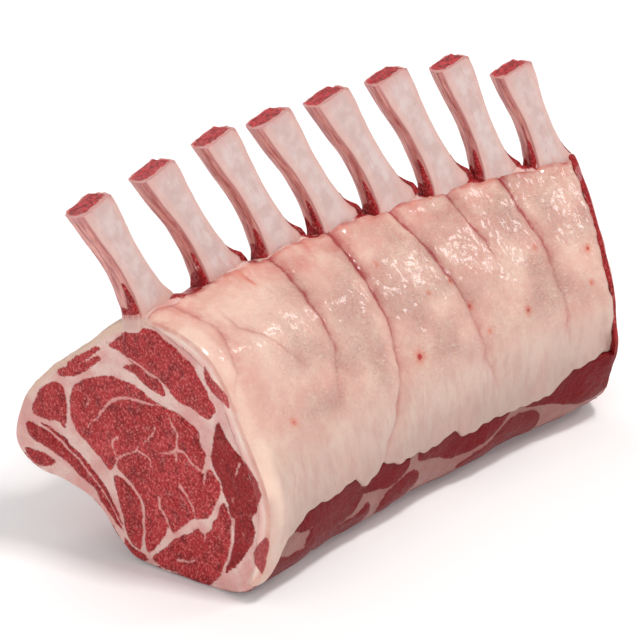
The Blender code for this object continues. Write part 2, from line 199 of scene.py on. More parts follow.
def outline(t, u):
    # the cross-section at t; u goes once round it from the crest, down the front and up the back
    table = np.array(outlines)
    t = np.asarray(t, float)[..., None]
    near, middle, far = (1 - t) * (1 - 2 * t), 4 * t * (1 - t), t * (2 * t - 1)
    at = (np.asarray(u, float) % 1.0) * len(table)
    first = np.floor(at).astype(int)
    f = (at - first)[..., None]
    total = 0.0
    weights = (-0.5 * f + f ** 2 - 0.5 * f ** 3, 1 - 2.5 * f ** 2 + 1.5 * f ** 3,
               0.5 * f + 2 * f ** 2 - 1.5 * f ** 3, -0.5 * f ** 2 + 0.5 * f ** 3)
    for step, weight in zip((-1, 0, 1, 2), weights):
        picked = table[(first + step) % len(table)]
        point = near * picked[..., 0, :] + middle * picked[..., 1, :] + far * picked[..., 2, :]
        total = total + weight * point
    return total[..., 0], total[..., 1]


def outward(t, u):
    w1, z1 = outline(t, np.asarray(u) - 0.004)
    w2, z2 = outline(t, np.asarray(u) + 0.004)
    size = np.hypot(w2 - w1, z2 - z1)
    return (z2 - z1) / size, -(w2 - w1) / size


def climb(t, w, z):
    # meat and fat climb a little up each bone
    near, nearer = rack["boneRow"]
    lift = np.zeros(np.broadcast(t, z).shape)
    for reach, *rest in bones:
        bt = reach / rack["length"]
        for beyond, up, wide in ((0.0, 2.4, 8.0), (7.5, 3.0, 5.5)):
            far = np.hypot(t * rack["length"] - reach - beyond, (w - near + nearer * bt) * 0.8)
            lift = np.maximum(lift, up * bump(far / wide))
    return lift * smooth((z - 70.0) / 12.0)


def exitOf(index):
    # where a bone leaves the meat: its part of the length, and the point
    reach, height = bones[index][:2]
    near, nearer = rack["boneRow"]
    t = reach / rack["length"]
    return t, place(np.array([t]), np.array([near - nearer * t]), np.array([height]), 0.0)[0]


def backRidge(t, z):
    # the bones run on down the back as low ridges; the first one stands too near the cut
    ridge = np.zeros(t.shape)
    for reach, height, *rest in bones[1:]:
        ridge = np.maximum(ridge, bump((t * rack["length"] - reach - 0.12 * (height - z)) / 6.0))
    return ridge


def capEnd(u):
    # the fat stops a little short of the far end, least near the top
    u = (np.asarray(u, float) + 0.5) % 1.0 - 0.5
    return np.interp(u, (0.0, 0.05, 0.12, 0.17, 0.22, 0.36), (0.982, 0.984, 0.989, 0.982, 0.989, 0.989))


capEdge = (
    (0.00, 5.0), (0.015, 7.0), (0.05, 22.0), (0.10, 27.0), (0.16, 27.5), (0.25, 28.0),
    (0.285, 24.0), (0.335, 27.5), (0.40, 24.5), (0.45, 23.5), (0.54, 25.0), (0.58, 21.5),
    (0.69, 23.0), (0.74, 21.5), (0.81, 22.0), (0.87, 27.5), (1.00, 30.0),
)


def capLower(t):
    # where round the outline the fat's ragged lower edge lies
    table = np.array(capEdge)
    heights = np.interp(t, table[:, 0], table[:, 1])
    heights = heights + 0.5 * np.sin(t * 61.0) + 0.3 * np.sin(t * 173.0 + 1.0)
    steps = np.linspace(0.28, 0.45, 60)
    found = []
    for one, height in zip(np.atleast_1d(t), np.atleast_1d(heights)):
        w, z = outline(np.full(60, one), steps)
        found.append(np.interp(-height, -z, steps))
    return np.array(found)


def capThickness(share):
    return 2.4 + 2.8 * smooth(share / 0.12) * smooth((1.0 - share) / 0.10)


# the muscles at the near cut end, as (behind the foot line, above the table)

muscles = {
    # name: (tone from 0 light to 1 dark, outline)
    "crown": (0.10, [
        (53.6, 77.4), (47.6, 83.4), (41.4, 87.0), (35.4, 87.6), (30.2, 85.3), (23.7, 81.7), (20.2, 79.2),
        (17.8, 74.9), (15.4, 70.6), (13.0, 65.5), (14.4, 62.3), (17.1, 60.5), (22.9, 63.2), (28.1, 64.5),
        (31.4, 68.5), (38.5, 71.4), (44.4, 72.5), (47.8, 75.2), (51.4, 76.2)]),
    "crownStrip": (0.25, [
        (49.3, 70.3), (45.0, 68.7), (40.7, 66.4), (35.6, 64.4), (33.4, 64.3), (32.4, 66.0), (34.2, 69.8),
        (38.5, 71.4), (44.4, 72.5)]),
    "capSliver": (0.25, [
        (15.9, 81.2), (13.7, 77.6), (10.4, 74.3), (8.0, 70.7), (8.0, 67.1), (10.4, 69.2), (13.8, 71.8),
        (16.1, 76.1)]),
    "shoulderTop": (0.15, [
        (72.7, 64.7), (66.1, 70.3), (59.3, 75.0), (57.4, 74.8), (62.3, 70.0), (70.0, 64.4)]),
    "shoulderLow": (0.15, [
        (76.5, 61.1), (74.0, 63.2), (66.7, 66.5), (59.9, 71.1), (58.0, 70.6), (61.2, 67.1), (67.1, 62.4),
        (72.7, 59.6), (75.9, 59.5)]),
    "heel": (0.20, [
        (87.7, 43.6), (85.5, 49.2), (82.2, 54.3), (79.0, 56.0), (75.9, 56.4), (74.0, 53.9), (73.4, 48.5),
        (74.5, 39.8), (77.1, 41.8), (82.6, 41.6), (87.0, 41.7)]),
    "heelStripOne": (0.35, [
        (83.9, 39.9), (77.3, 37.6), (69.6, 32.9), (64.2, 28.9), (59.7, 25.3), (56.3, 20.7), (53.7, 16.6),
        (51.5, 11.7), (53.4, 12.5), (57.5, 18.3), (63.6, 23.4), (70.5, 29.1), (77.4, 34.1), (83.1, 38.0)]),
    "heelStripTwo": (0.35, [
        (90.6, 37.9), (85.1, 38.1), (78.1, 35.2), (71.2, 31.0), (65.1, 26.5), (59.8, 21.8), (55.2, 16.1),
        (51.5, 9.5), (55.3, 12.6), (62.1, 20.4), (68.3, 24.1), (75.2, 28.4), (81.4, 30.8), (88.4, 32.9)]),
    "eye": (0.0, [
        (70.4, 57.0), (66.5, 60.2), (59.3, 64.0), (53.0, 65.2), (46.9, 65.2), (42.5, 63.7), (38.1, 61.5),
        (33.6, 60.4), (29.1, 60.0), (24.6, 58.6), (20.1, 55.8), (19.4, 51.9), (17.6, 48.4), (17.3, 45.1),
        (18.8, 41.2), (15.8, 43.3), (13.6, 40.7), (11.8, 37.1), (12.9, 33.3), (15.2, 28.4), (17.6, 24.6),
        (20.6, 23.7), (23.6, 22.4), (27.5, 18.4), (31.4, 15.2), (33.6, 16.5), (34.5, 13.4), (39.2, 6.3),
        (42.3, 6.0), (42.9, 16.4), (43.5, 22.6), (46.5, 27.2), (50.3, 30.3), (53.3, 32.2), (53.2, 35.0),
        (56.4, 30.2), (59.5, 32.4), (64.0, 35.9), (69.4, 39.9), (72.0, 44.7), (72.1, 51.6)]),
    "chine": (0.25, [
        (54.9, 28.2), (51.0, 29.3), (47.2, 27.0), (44.3, 23.0), (43.2, 17.7), (43.4, 10.7), (44.2, 5.4),
        (47.7, 5.8), (50.7, 10.5), (51.0, 13.9), (52.8, 20.4)]),
    "toe": (0.15, [
        (39.3, 3.8), (35.3, 8.2), (31.4, 12.6), (26.0, 16.4), (21.4, 19.6), (18.0, 18.9), (13.8, 26.1),
        (11.1, 32.5), (8.5, 27.1), (8.2, 20.2), (10.2, 10.5), (12.5, 5.6), (16.3, 0.9), (20.2, -1.4),
        (26.3, 0.2), (31.6, 0.9), (36.2, 1.2)]),
    "outerDark": (0.85, [
        (12.6, 60.8), (10.4, 58.0), (6.7, 53.0), (3.0, 50.0), (0.1, 46.8), (-2.8, 43.6), (-3.7, 39.7),
        (-2.8, 34.7), (-0.5, 29.8), (-1.2, 24.5), (1.1, 19.0), (4.9, 12.9), (10.2, 7.4), (7.4, 20.5),
        (8.1, 27.2), (9.9, 33.5), (12.1, 39.7), (14.7, 45.2), (15.0, 49.9), (14.2, 54.9)]),
    "rimSliver": (0.70, [
        (-0.4, 17.4), (-1.9, 20.3), (-5.3, 25.1), (-6.8, 22.1), (-5.6, 16.9), (-4.1, 11.6), (-1.9, 12.9)]),
    "heelDrop": (0.30, [
        (91.0, 28.3), (85.4, 28.9), (79.9, 27.7), (78.8, 26.3), (82.4, 24.1), (86.4, 23.6), (89.5, 25.2)]),
    "footDrop": (0.35, [
        (51.2, 7.5), (47.7, 5.0), (43.9, 4.1), (41.2, 2.5), (44.0, 0.9), (47.8, 1.1), (50.9, 3.3)]),
}
veins = (
    # half width, then its points
    (0.42, [
        (84.0, 38.6), (77.3, 35.6), (70.0, 30.6), (64.0, 26.0), (59.0, 21.5), (54.5, 15.5), (51.5, 10.5)]),
    (0.50, [(46.0, 74.6), (42.0, 73.4), (38.5, 71.4), (34.2, 69.8), (31.0, 67.0)]),
    (0.75, [
        (54.1, 31.2), (50.3, 29.6), (46.5, 27.2), (43.5, 22.6), (42.9, 16.4), (43.0, 10.1), (43.9, 5.6)]),
    (0.45, [(36.1, 26.9), (35.8, 23.5), (33.6, 19.3), (32.5, 15.4)]),
    (0.35, [(27.2, 34.5), (25.0, 31.0), (22.8, 26.1), (22.1, 23.5)]),
    (0.35, [(28.9, 46.4), (28.1, 52.1), (30.7, 56.2), (32.1, 58.5)]),
    (0.35, [(28.9, 46.4), (31.6, 44.5), (34.7, 44.0)]),
    (0.35, [(28.9, 46.4), (25.5, 46.7), (22.6, 43.5), (18.8, 41.8)]),
    (0.30, [(28.9, 46.4), (28.6, 43.0)]),
    (0.40, [(55.4, 55.8), (58.2, 52.2), (61.0, 48.3), (65.4, 43.2)]),
    (0.45, [(55.4, 55.8), (50.4, 58.6), (44.2, 59.7), (38.1, 59.8), (33.6, 60.8)]),
    (0.25, [(63.5, 54.1), (65.6, 50.4)]),
    (0.35, [(52.2, 43.9), (55.0, 41.7), (53.9, 38.2), (53.2, 35.0)]),
    (0.30, [(53.2, 35.0), (50.1, 38.0), (44.6, 41.0), (43.4, 43.4)]),
    (0.30, [(43.5, 41.4), (39.3, 40.5), (38.6, 36.6)]),
    (0.25, [(36.8, 52.3), (38.0, 49.2), (41.5, 45.4)]),
    (0.30, [(4.6, 48.2), (5.7, 43.7)]),
    (0.35, [(29.2, 5.6), (25.0, 6.5), (22.3, 8.1)]),
    (0.30, [(18.0, 18.5), (18.4, 16.3)]),
    (0.55, [(7.4, 27.4), (7.8, 20.3), (9.4, 12.9), (11.4, 6.7)]),
    (0.40, [(17.7, 42.9), (17.4, 39.5), (18.1, 37.2)]),
)
# the strip of meat under the fat along the front: each muscle's tone, kept dark partly as painted shade since
# the strip faces down, then its outline as (part of the length, part of the way round)
stripMuscles = (
    (0.9, [(0.052, 0.336), (0.100, 0.330), (0.152, 0.328), (0.152, 0.334), (0.122, 0.351), (0.085, 0.345)]),
    (0.9, [
        (0.124, 0.374), (0.140, 0.350), (0.158, 0.325), (0.210, 0.310), (0.263, 0.310), (0.281, 0.336),
        (0.285, 0.356), (0.248, 0.369), (0.178, 0.375)]),
    (1.0, [
        (0.004, 0.363), (0.060, 0.376), (0.104, 0.378), (0.271, 0.380), (0.311, 0.372), (0.300, 0.400),
        (0.200, 0.415), (0.060, 0.410), (0.010, 0.395)]),
    (0.9, [
        (0.281, 0.336), (0.309, 0.320), (0.363, 0.318), (0.412, 0.330), (0.415, 0.346), (0.379, 0.356),
        (0.293, 0.349)]),
    (0.9, [
        (0.365, 0.371), (0.395, 0.364), (0.431, 0.359), (0.452, 0.366), (0.440, 0.382), (0.395, 0.398),
        (0.350, 0.395)]),
    (0.9, [(0.449, 0.339), (0.487, 0.326), (0.545, 0.322), (0.559, 0.340), (0.531, 0.354), (0.480, 0.350)]),
    (0.9, [
        (0.531, 0.360), (0.541, 0.338), (0.607, 0.338), (0.697, 0.326), (0.708, 0.342), (0.657, 0.363),
        (0.595, 0.369)]),
    (1.0, [
        (0.590, 0.392), (0.611, 0.385), (0.663, 0.375), (0.727, 0.356), (0.785, 0.362), (0.810, 0.380),
        (0.790, 0.408), (0.701, 0.407), (0.620, 0.405)]),
    (0.9, [
        (0.756, 0.334), (0.818, 0.322), (0.892, 0.322), (0.968, 0.312), (1.010, 0.300), (1.010, 0.365),
        (0.955, 0.380), (0.900, 0.372), (0.860, 0.360), (0.790, 0.350)]),
)


def roundedLoop(points, steps=5):
    # a closed curve through the points
    p = np.array(points, float)
    f = (np.arange(steps) / steps)[:, None]
    a, b, c, d = (np.roll(p, shift, axis=0)[:, None, :] for shift in (1, 0, -1, -2))
    curve = b + 0.5 * f * (c - a + f * (2 * a - 5 * b + 4 * c - d + f * (3 * (b - c) + d - a)))
    return curve.reshape(-1, 2)


def distanceTo(points, line, closed):
    # distance from each point to a line of segments, and whether each is inside a closed one
    a = line if closed else line[:-1]
    b = np.roll(line, -1, axis=0) if closed else line[1:]
    best = np.full(len(points), 1e9)
    inside = np.zeros(len(points), bool)
    for (x1, y1), (x2, y2) in zip(a, b):
        dx, dy = x2 - x1, y2 - y1
        along = (points[:, 0] - x1) * dx + (points[:, 1] - y1) * dy
        along = np.clip(along / max(dx * dx + dy * dy, 1e-9), 0, 1)
        best = np.minimum(best, np.hypot(points[:, 0] - x1 - along * dx, points[:, 1] - y1 - along * dy))
        if closed and y1 != y2:
            inside ^= ((y1 > points[:, 1]) != (y2 > points[:, 1])) & (
                points[:, 0] < x1 + (points[:, 1] - y1) * dx / dy)
    return best, inside


def muscleMap(w, z):
    # for the cut ends: mm inside the nearest muscle, its tone, and mm inside the nearest vein
    points, flat = np.stack([w, z], axis=-1), np.stack([w, z, 0 * w], -1)
    points = points + 0.35 * np.stack([lumps(flat, 3.0, seed) for seed in (5, 6)], axis=-1)
    inner, tone = np.full(len(w), outside), np.zeros(len(w))
    for shade, shape in muscles.values():
        loop = roundedLoop(shape)
        near = ((w > loop[:, 0].min() - 9) & (w < loop[:, 0].max() + 9)
                & (z > loop[:, 1].min() - 9) & (z < loop[:, 1].max() + 9))
        if not near.any():
            continue
        far, inside = distanceTo(points[near], loop, True)
        signed = np.full(len(w), outside)
        signed[near] = np.where(inside, far, -far)
        tone = np.where(signed > inner, shade, tone)
        inner = np.maximum(inner, signed)
    vein = np.full(len(w), outside)
    for half, shape in veins:
        line = np.array(shape, float)
        lengths = np.concatenate([[0], np.cumsum(np.hypot(*np.diff(line, axis=0).T))])
        steps = np.linspace(0, lengths[-1], 4 * len(line))
        line = np.stack([np.interp(steps, lengths, line[:, 0]), np.interp(steps, lengths, line[:, 1])], -1)
        for k in range(len(line) - 1):      # thinner towards its end
            away = distanceTo(points, line[k:k + 2], False)[0]
            vein = np.maximum(vein, half * (1.15 - 0.75 * k / len(line)) - away)
    return inner, tone, vein


def stripMap(t, u):
    # the same for the meat along the front below the fat
    scale = np.array([rack["length"], rack["girth"]])
    points = np.stack([t, u], axis=-1) * scale
    flat = np.stack([points[:, 0], points[:, 1], 0 * t], -1)
    points = points + 0.5 * np.stack([lumps(flat, 4.0, seed) for seed in (7, 8)], axis=-1)
    inner, tone = np.full(len(t), outside), np.zeros(len(t))
    for shade, shape in stripMuscles:
        far, inside = distanceTo(points, roundedLoop(np.array(shape) * scale), True)
        signed = np.where(inside, far, -far) + 1.1
        tone = np.where(signed > inner, shade, tone)
        inner = np.maximum(inner, signed)
    return np.maximum(inner, outside), tone


# the rim of the near cut face
nearOutline = np.stack(outline(np.zeros(360), np.linspace(0, 1, 360, endpoint=False)), axis=-1)


def faceRelief(w, z, edge, vein):
    # how far the near cut face stands out: its muscles swell and stand a little above their seams
    flat = np.stack([w, z, 0 * w], axis=-1)
    rim = distanceTo(np.stack([w, z], axis=-1), nearOutline, True)[0]
    out = 1.3 * bump(np.hypot((w - 36.0) / 22.0, (z - 46.0) / 20.0))
    out += 0.7 * bump(np.hypot((w - 24.0) / 16.0, (z - 70.0) / 7.0))
    out -= 0.9 * bump(np.hypot((w - 66.0) / 12.0, (z - 36.0) / 16.0))
    out = out * smooth(rim / 6.0) - 0.35
    out += leanBodySizes["leanProud"] * smooth((edge + 0.2) / 1.4) - 0.20 * smooth((vein + 0.5) / 0.8)
    out += 0.22 * lumps(flat, 4.5, 21) + 0.12 * lumps(flat, 1.6, 22)
    return out * smooth(rim / 1.4) - 0.45 * (1 - smooth(rim / 1.3)), rim


def makePiece(name, points, faces, values, material, angle=50.0):
    # one closed mesh at the origin, in metres, with its per-point values for the material
    mesh = bpy.data.meshes.new(name)
    mesh.from_pydata((np.asarray(points) * mm).tolist(), [], faces)
    for key, numbers in values.items():
        mesh.attributes.new(key, "FLOAT", "POINT").data.foreach_set("value", np.asarray(numbers, np.float32))
    work = bmesh.new()
    work.from_mesh(mesh)
    bmesh.ops.remove_doubles(work, verts=work.verts, dist=0.000004)
    bmesh.ops.dissolve_degenerate(work, dist=0.000004, edges=work.edges)
    bmesh.ops.triangulate(work, faces=[f for f in work.faces if len(f.verts) > 4])
    bmesh.ops.recalc_face_normals(work, faces=work.faces)
    loose = sum(1 for e in work.edges if len(e.link_faces) != 2)
    work.to_mesh(mesh)
    work.free()
    mesh.shade_smooth()
    mesh.set_sharp_from_angle(angle=math.radians(angle))
    mesh.materials.append(material)
    piece = bpy.data.objects.new(name, mesh)
    bpy.context.scene.collection.objects.link(piece)
    print("stage:", name, len(mesh.vertices), "points, open edges", loose)
    return piece


def gridFaces(rows, columns, closed=True, start=0):
    faces = []
    for row in range(rows - 1):
        for column in range(columns if closed else columns - 1):
            a = start + row * columns + column
            b = start + row * columns + (column + 1) % columns
            faces.append((a, a + columns, b + columns, b))
    return faces


def extend(values, more, count):
    # the values of some more points, 0 where none are given
    return {key: np.concatenate([numbers, more.get(key, np.zeros(count))]) for key, numbers in values.items()}


def rimOf(rowAt, columnAt, start):
    # the points round the edge of an open grid, and how far round each one is
    rows, columns = len(rowAt), len(columnAt)
    ids = [start + c for c in range(columns - 1)]
    ids += [start + r * columns + columns - 1 for r in range(rows - 1)]
    ids += [start + (rows - 1) * columns + c for c in range(columns - 1, 0, -1)]
    ids += [start + r * columns for r in range(rows - 1, 0, -1)]
    at = [columnAt[c] / 4 for c in range(columns - 1)]
    at += [0.25 + rowAt[r] / 4 for r in range(rows - 1)]
    at += [0.5 + (1 - columnAt[c]) / 4 for c in range(columns - 1, 0, -1)]
    at += [0.75 + (1 - rowAt[r]) / 4 for r in range(rows - 1, 0, -1)]
    return ids, at


def stitch(first, second, firstAt, secondAt):
    # triangles between two closed rings of different counts; the places along both go from 0 to 1
    faces, i, j = [], 0, 0
    n, m = len(first), len(second)
    while i < n or j < m:
        nextFirst = firstAt[i + 1] if i + 1 < n else 1.0 + (0 if i < n else 9)
        nextSecond = secondAt[j + 1] if j + 1 < m else 1.0 + (0 if j < m else 9)
        if j >= m or (i < n and nextFirst <= nextSecond):
            faces.append((first[i % n], first[(i + 1) % n], second[j % m]))
            i += 1
        else:
            faces.append((first[i % n], second[(j + 1) % m], second[j % m]))
            j += 1
    return faces


# raw lean: knife-cut lamb, rose red and moist, grainy across the cut, with pale fat in its seams

def lambLean():
    made, tree, shader = newMaterial("rawLambLean", {
        "Roughness": 0.40, "IOR": 1.38, "Subsurface Weight": 0.08, "Subsurface Scale": 0.003,
        "Coat Weight": 0.20, "Coat Roughness": 0.10, "Specular IOR Level": 0.25})
    spot = addNode(tree, "ShaderNodeTexCoord", None, "Object")
    edge, vein, tone, skin, shade, pale = (
        addNode(tree, "ShaderNodeAttribute", None, "Fac", attribute_name=name)
        for name in ("leanEdge", "veinEdge", "tone", "skin", "shade", "pale"))
    dashes = addNode(tree, "ShaderNodeMapping", {
        "Vector": spot, "Rotation": (math.radians(42.0), 0.0, 0.0), "Scale": (1.0, 1.0, 0.78)}, 0)
    ragged, cloudy, patches, grain, fleck = (
        addNode(tree, "ShaderNodeTexNoise", {"Vector": vector, "Scale": 1 / size, "Detail": detail,
                                             "Roughness": rough, "Distortion": twist}, 0)
        for vector, size, detail, rough, twist in (
            (spot, 0.0011, 3.0, 0.5, 0.0), (spot, 0.009, 3.0, 0.5, 0.0), (dashes, 0.0035, 3.0, 0.5, 0.0),
            (dashes, 0.00075, 4.0, 0.72, 0.0),      # bundles of fibre, 0.75 mm
            (spot, 0.0022, 5.0, 0.7, 0.8)))
    away = addNode(tree, "ShaderNodeMath", {0: ragged, 1: 1.3, 2: -0.65}, 0, operation="MULTIPLY_ADD")
    edgeHere, veinHere = (addNode(tree, "ShaderNodeMath", {0: inside, 1: away}, 0, operation="ADD")
                          for inside in (edge, vein))
    amount = {
        # name: (read from, start, end, least, most)
        "lean": (edgeHere, -0.3, 0.3, 0.0, 1.0), "vein": (veinHere, -0.3, 0.2, 0.0, 0.9),
        "cloud": (cloudy, 0.35, 0.65, 0.0, 1.0), "patch": (patches, 0.50, 0.64, 0.0, 0.6),
        "lightGrain": (grain, 0.53, 0.63, 0.0, 0.8), "darkGrain": (grain, 0.48, 0.37, 0.0, 0.85),
        "fleck": (fleck, 0.59, 0.68, 0.0, 0.6), "fatGrain": (grain, 0.47, 0.33, 0.0, 0.45),
        "filmCloud": (cloudy, 0.4, 0.6, 0.0, 1.0), "roughness": (fleck, 0.3, 0.7, 0.3, 0.5),
        "coat": (shade, 0.0, 1.0, 0.2, 0.08), "shine": (shade, 0.0, 1.0, 0.25, 0.12),
    }
    for name, ramp in amount.items():
        amount[name] = addNode(tree, "ShaderNodeMapRange", dict(enumerate(ramp)), 0,
                               interpolation_type="SMOOTHSTEP")
    # painted shade: the strip and underside face down, away from the lights, so the shade attribute darkens
    # their lean and fat
    paintedShadeOnRed, paintedShadeOnFat = (addNode(tree, "ShaderNodeMath", {0: shade, 1: part}, 0, operation="MULTIPLY")
                          for part in (0.78, 0.85))
    light = addNode(tree, "ShaderNodeMix", {0: tone, 6: linear("#ea8c86"), 7: linear("#b03c3a")}, 2,
                    data_type="RGBA")
    painted = []
    for first, layers in (
            ("#bb242a", (
                (amount["cloud"], linear("#cf3a3f")), (tone, linear("#9a0b12")),
                (amount["patch"], linear("#7d0810")), (amount["lightGrain"], light),
                (amount["darkGrain"], linear("#64060d")), (amount["fleck"], linear("#d98f88")),
                (amount["vein"], linear("#f0aea8")), (paintedShadeOnRed, linear("#6e0a12")))),
            ("#efb1aa", (
                (amount["cloud"], linear("#fad6cc")), (amount["fatGrain"], linear("#d28d89")),
                (paintedShadeOnFat, linear("#95605b")), (pale, linear("#f0cdb9")))),
            ("#c98984", ((amount["filmCloud"], linear("#dcb0aa")),))):
        colour = linear(first)
        for share, paint in layers:
            colour = addNode(tree, "ShaderNodeMix", {0: share, 6: colour, 7: paint}, 2, data_type="RGBA")
        painted.append(colour)
    red, fat, film = painted
    colour = addNode(tree, "ShaderNodeMix", {0: amount["lean"], 6: fat, 7: red}, 2, data_type="RGBA")
    colour = addNode(tree, "ShaderNodeMix", {0: skin, 6: colour, 7: film}, 2, data_type="RGBA")
    height = addNode(tree, "ShaderNodeMath", {0: grain, 1: ragged}, 0, operation="ADD")
    lump = addNode(tree, "ShaderNodeBump", {"Strength": 0.75, "Distance": 0.0009, "Height": height}, 0)
    for socket, value in (("Base Color", colour), ("Normal", lump), ("Coat Weight", amount["coat"]),
                          ("Specular IOR Level", amount["shine"]), ("Roughness", amount["roughness"])):
        tree.links.new(value, shader.inputs[socket])
    return made


# the fat cap: firm chilled lamb fat under its thin skin, cream to pink, moist and finely pebbled

def lambFat():
    made, tree, shader = newMaterial("chilledLambFat", {
        "Roughness": 0.42, "IOR": 1.45, "Subsurface Weight": 0.15, "Subsurface Scale": 0.003,
        "Coat Weight": 0.60, "Coat Roughness": 0.17, "Subsurface Radius": (1.0, 0.45, 0.3)})
    spot = addNode(tree, "ShaderNodeTexCoord", None, "Object")
    crease, blood, pink, cream, low, pebble, pale, leanEdge, tone, inside = (
        addNode(tree, "ShaderNodeAttribute", None, "Fac", attribute_name=name)
        for name in ("crease", "blood", "pink", "cream", "low", "pebble", "pale", "leanEdge", "tone",
                     "inside"))
    fibres = addNode(tree, "ShaderNodeMapping", {"Vector": spot, "Scale": (1.0, 1.0, 0.28)}, 0)
    cloudy, mottle, fine, streak, grain = (
        addNode(tree, "ShaderNodeTexNoise", {"Vector": vector, "Scale": 1 / size, "Detail": detail,
                                             "Roughness": rough}, 0)
        for vector, size, detail, rough in (
            (spot, 0.012, 4.0, 0.5), (spot, 0.0035, 4.0, 0.6),
            (spot, 0.001, 3.0, 0.65),      # pebbled skin, 1 mm
            (fibres, 0.003, 4.0, 0.65), (spot, 0.001, 4.0, 0.72)))
    ragged = addNode(tree, "ShaderNodeMath", {0: fine, 1: 1.2, 2: -0.6}, 0, operation="MULTIPLY_ADD")
    edgeHere = addNode(tree, "ShaderNodeMath", {0: leanEdge, 1: ragged}, 0, operation="ADD")
    amount = {
        # name: (read from, start, end, least, most)
        "cloud": (cloudy, 0.35, 0.65, 0.0, 1.0), "mottle": (mottle, 0.48, 0.7, 0.0, 0.55),
        "streak": (streak, 0.4, 0.65, 0.0, 1.0), "hollow": (fine, 0.5, 0.36, 0.0, 0.4),
        "raisedPaintedHighlight": (fine, 0.57, 0.7, 0.0, 0.8), "pink": (mottle, 0.3, 0.62, 0.35, 1.0),
        "crease": (mottle, 0.25, 0.6, 0.5, 1.0), "bloodHalo": (blood, 0.02, 0.35, 0.0, 0.6),
        "bloodSpot": (blood, 0.35, 0.9, 0.0, 1.0), "lean": (edgeHere, -0.3, 0.3, 0.0, 1.0),
        "lightGrain": (grain, 0.53, 0.64, 0.0, 0.85), "darkGrain": (grain, 0.48, 0.36, 0.0, 0.8),
        "roughness": (pebble, 0.0, 1.0, 0.48, 0.33),
    }
    for name, ramp in amount.items():
        amount[name] = addNode(tree, "ShaderNodeMapRange", dict(enumerate(ramp)), 0,
                               interpolation_type="SMOOTHSTEP")
    inBand, innerBand = (addNode(tree, "ShaderNodeMapRange", {0: inside, 1: start, 2: end}, 0)
                         for start, end in ((0.05, 0.45), (0.50, 0.98)))
    creamy, hollow, raisedPaintedHighlight, tint, redder, inCrease = (
        addNode(tree, "ShaderNodeMath", {0: first, 1: second}, 0, operation="MULTIPLY")
        for first, second in ((cream, 0.75), (pebble, amount["hollow"]), (pebble, amount["raisedPaintedHighlight"]),
                              (pebble, 0.25), (pink, amount["pink"]), (crease, amount["crease"])))
    fibrous, seam, light, red = (
        addNode(tree, "ShaderNodeMix", {0: share, 6: linear(first), 7: linear(second)}, 2, data_type="RGBA")
        for share, first, second in (
            (amount["streak"], "#ccb2a4", "#c19d90"), (amount["cloud"], "#efc4b8", "#fbe0d2"),
            (tone, "#ea8c86", "#b03c3a"), (tone, "#bf272d", "#9a0b12")))
    for share, paint in ((amount["lightGrain"], light), (amount["darkGrain"], linear("#64060d"))):
        red = addNode(tree, "ShaderNodeMix", {0: share, 6: red, 7: paint}, 2, data_type="RGBA")
    colour = linear("#dfaea0")
    for share, paint in (
            (amount["cloud"], linear("#efcab8")), (amount["mottle"], linear("#dea89d")), (creamy, fibrous),
            # low is painted shade on the fat's lower front, which faces down
            (low, linear("#a5857a")), (pale, linear("#f7d6c4")),
            # in the pebbled middle the hollows are pinker and take painted shade, and the bumps catch more
            # light as a painted highlight
            (hollow, linear("#d89c90")), (raisedPaintedHighlight, linear("#fbe6dc")), (tint, linear("#f5b8a9")),
            (redder, linear("#de8f80")), (inCrease, linear("#b03f3e")),
            (amount["bloodHalo"], linear("#e07e66")), (amount["bloodSpot"], linear("#bd2a22")),
            # the band that shows at the near cut, with the edges of its muscles
            (inBand, seam), (innerBand, linear("#efb6ad")), (amount["lean"], red)):
        colour = addNode(tree, "ShaderNodeMix", {0: share, 6: colour, 7: paint}, 2, data_type="RGBA")
    strength = addNode(tree, "ShaderNodeMath", {0: pebble, 1: 0.8, 2: 0.1}, 0, operation="MULTIPLY_ADD")
    pebbled = addNode(tree, "ShaderNodeBump", {"Strength": strength, "Distance": 0.0022, "Height": fine}, 0)
    veined = addNode(tree, "ShaderNodeBump", {"Strength": 0.25, "Distance": 0.0008, "Height": streak,
                                              "Normal": pebbled}, 0)
    for socket, value in (("Base Color", colour), ("Normal", veined), ("Roughness", amount["roughness"])):
        tree.links.new(value, shader.inputs[socket])
    return made


# rib bone scraped clean: cool pinkish white and slightly glossy, with red film left on its sides

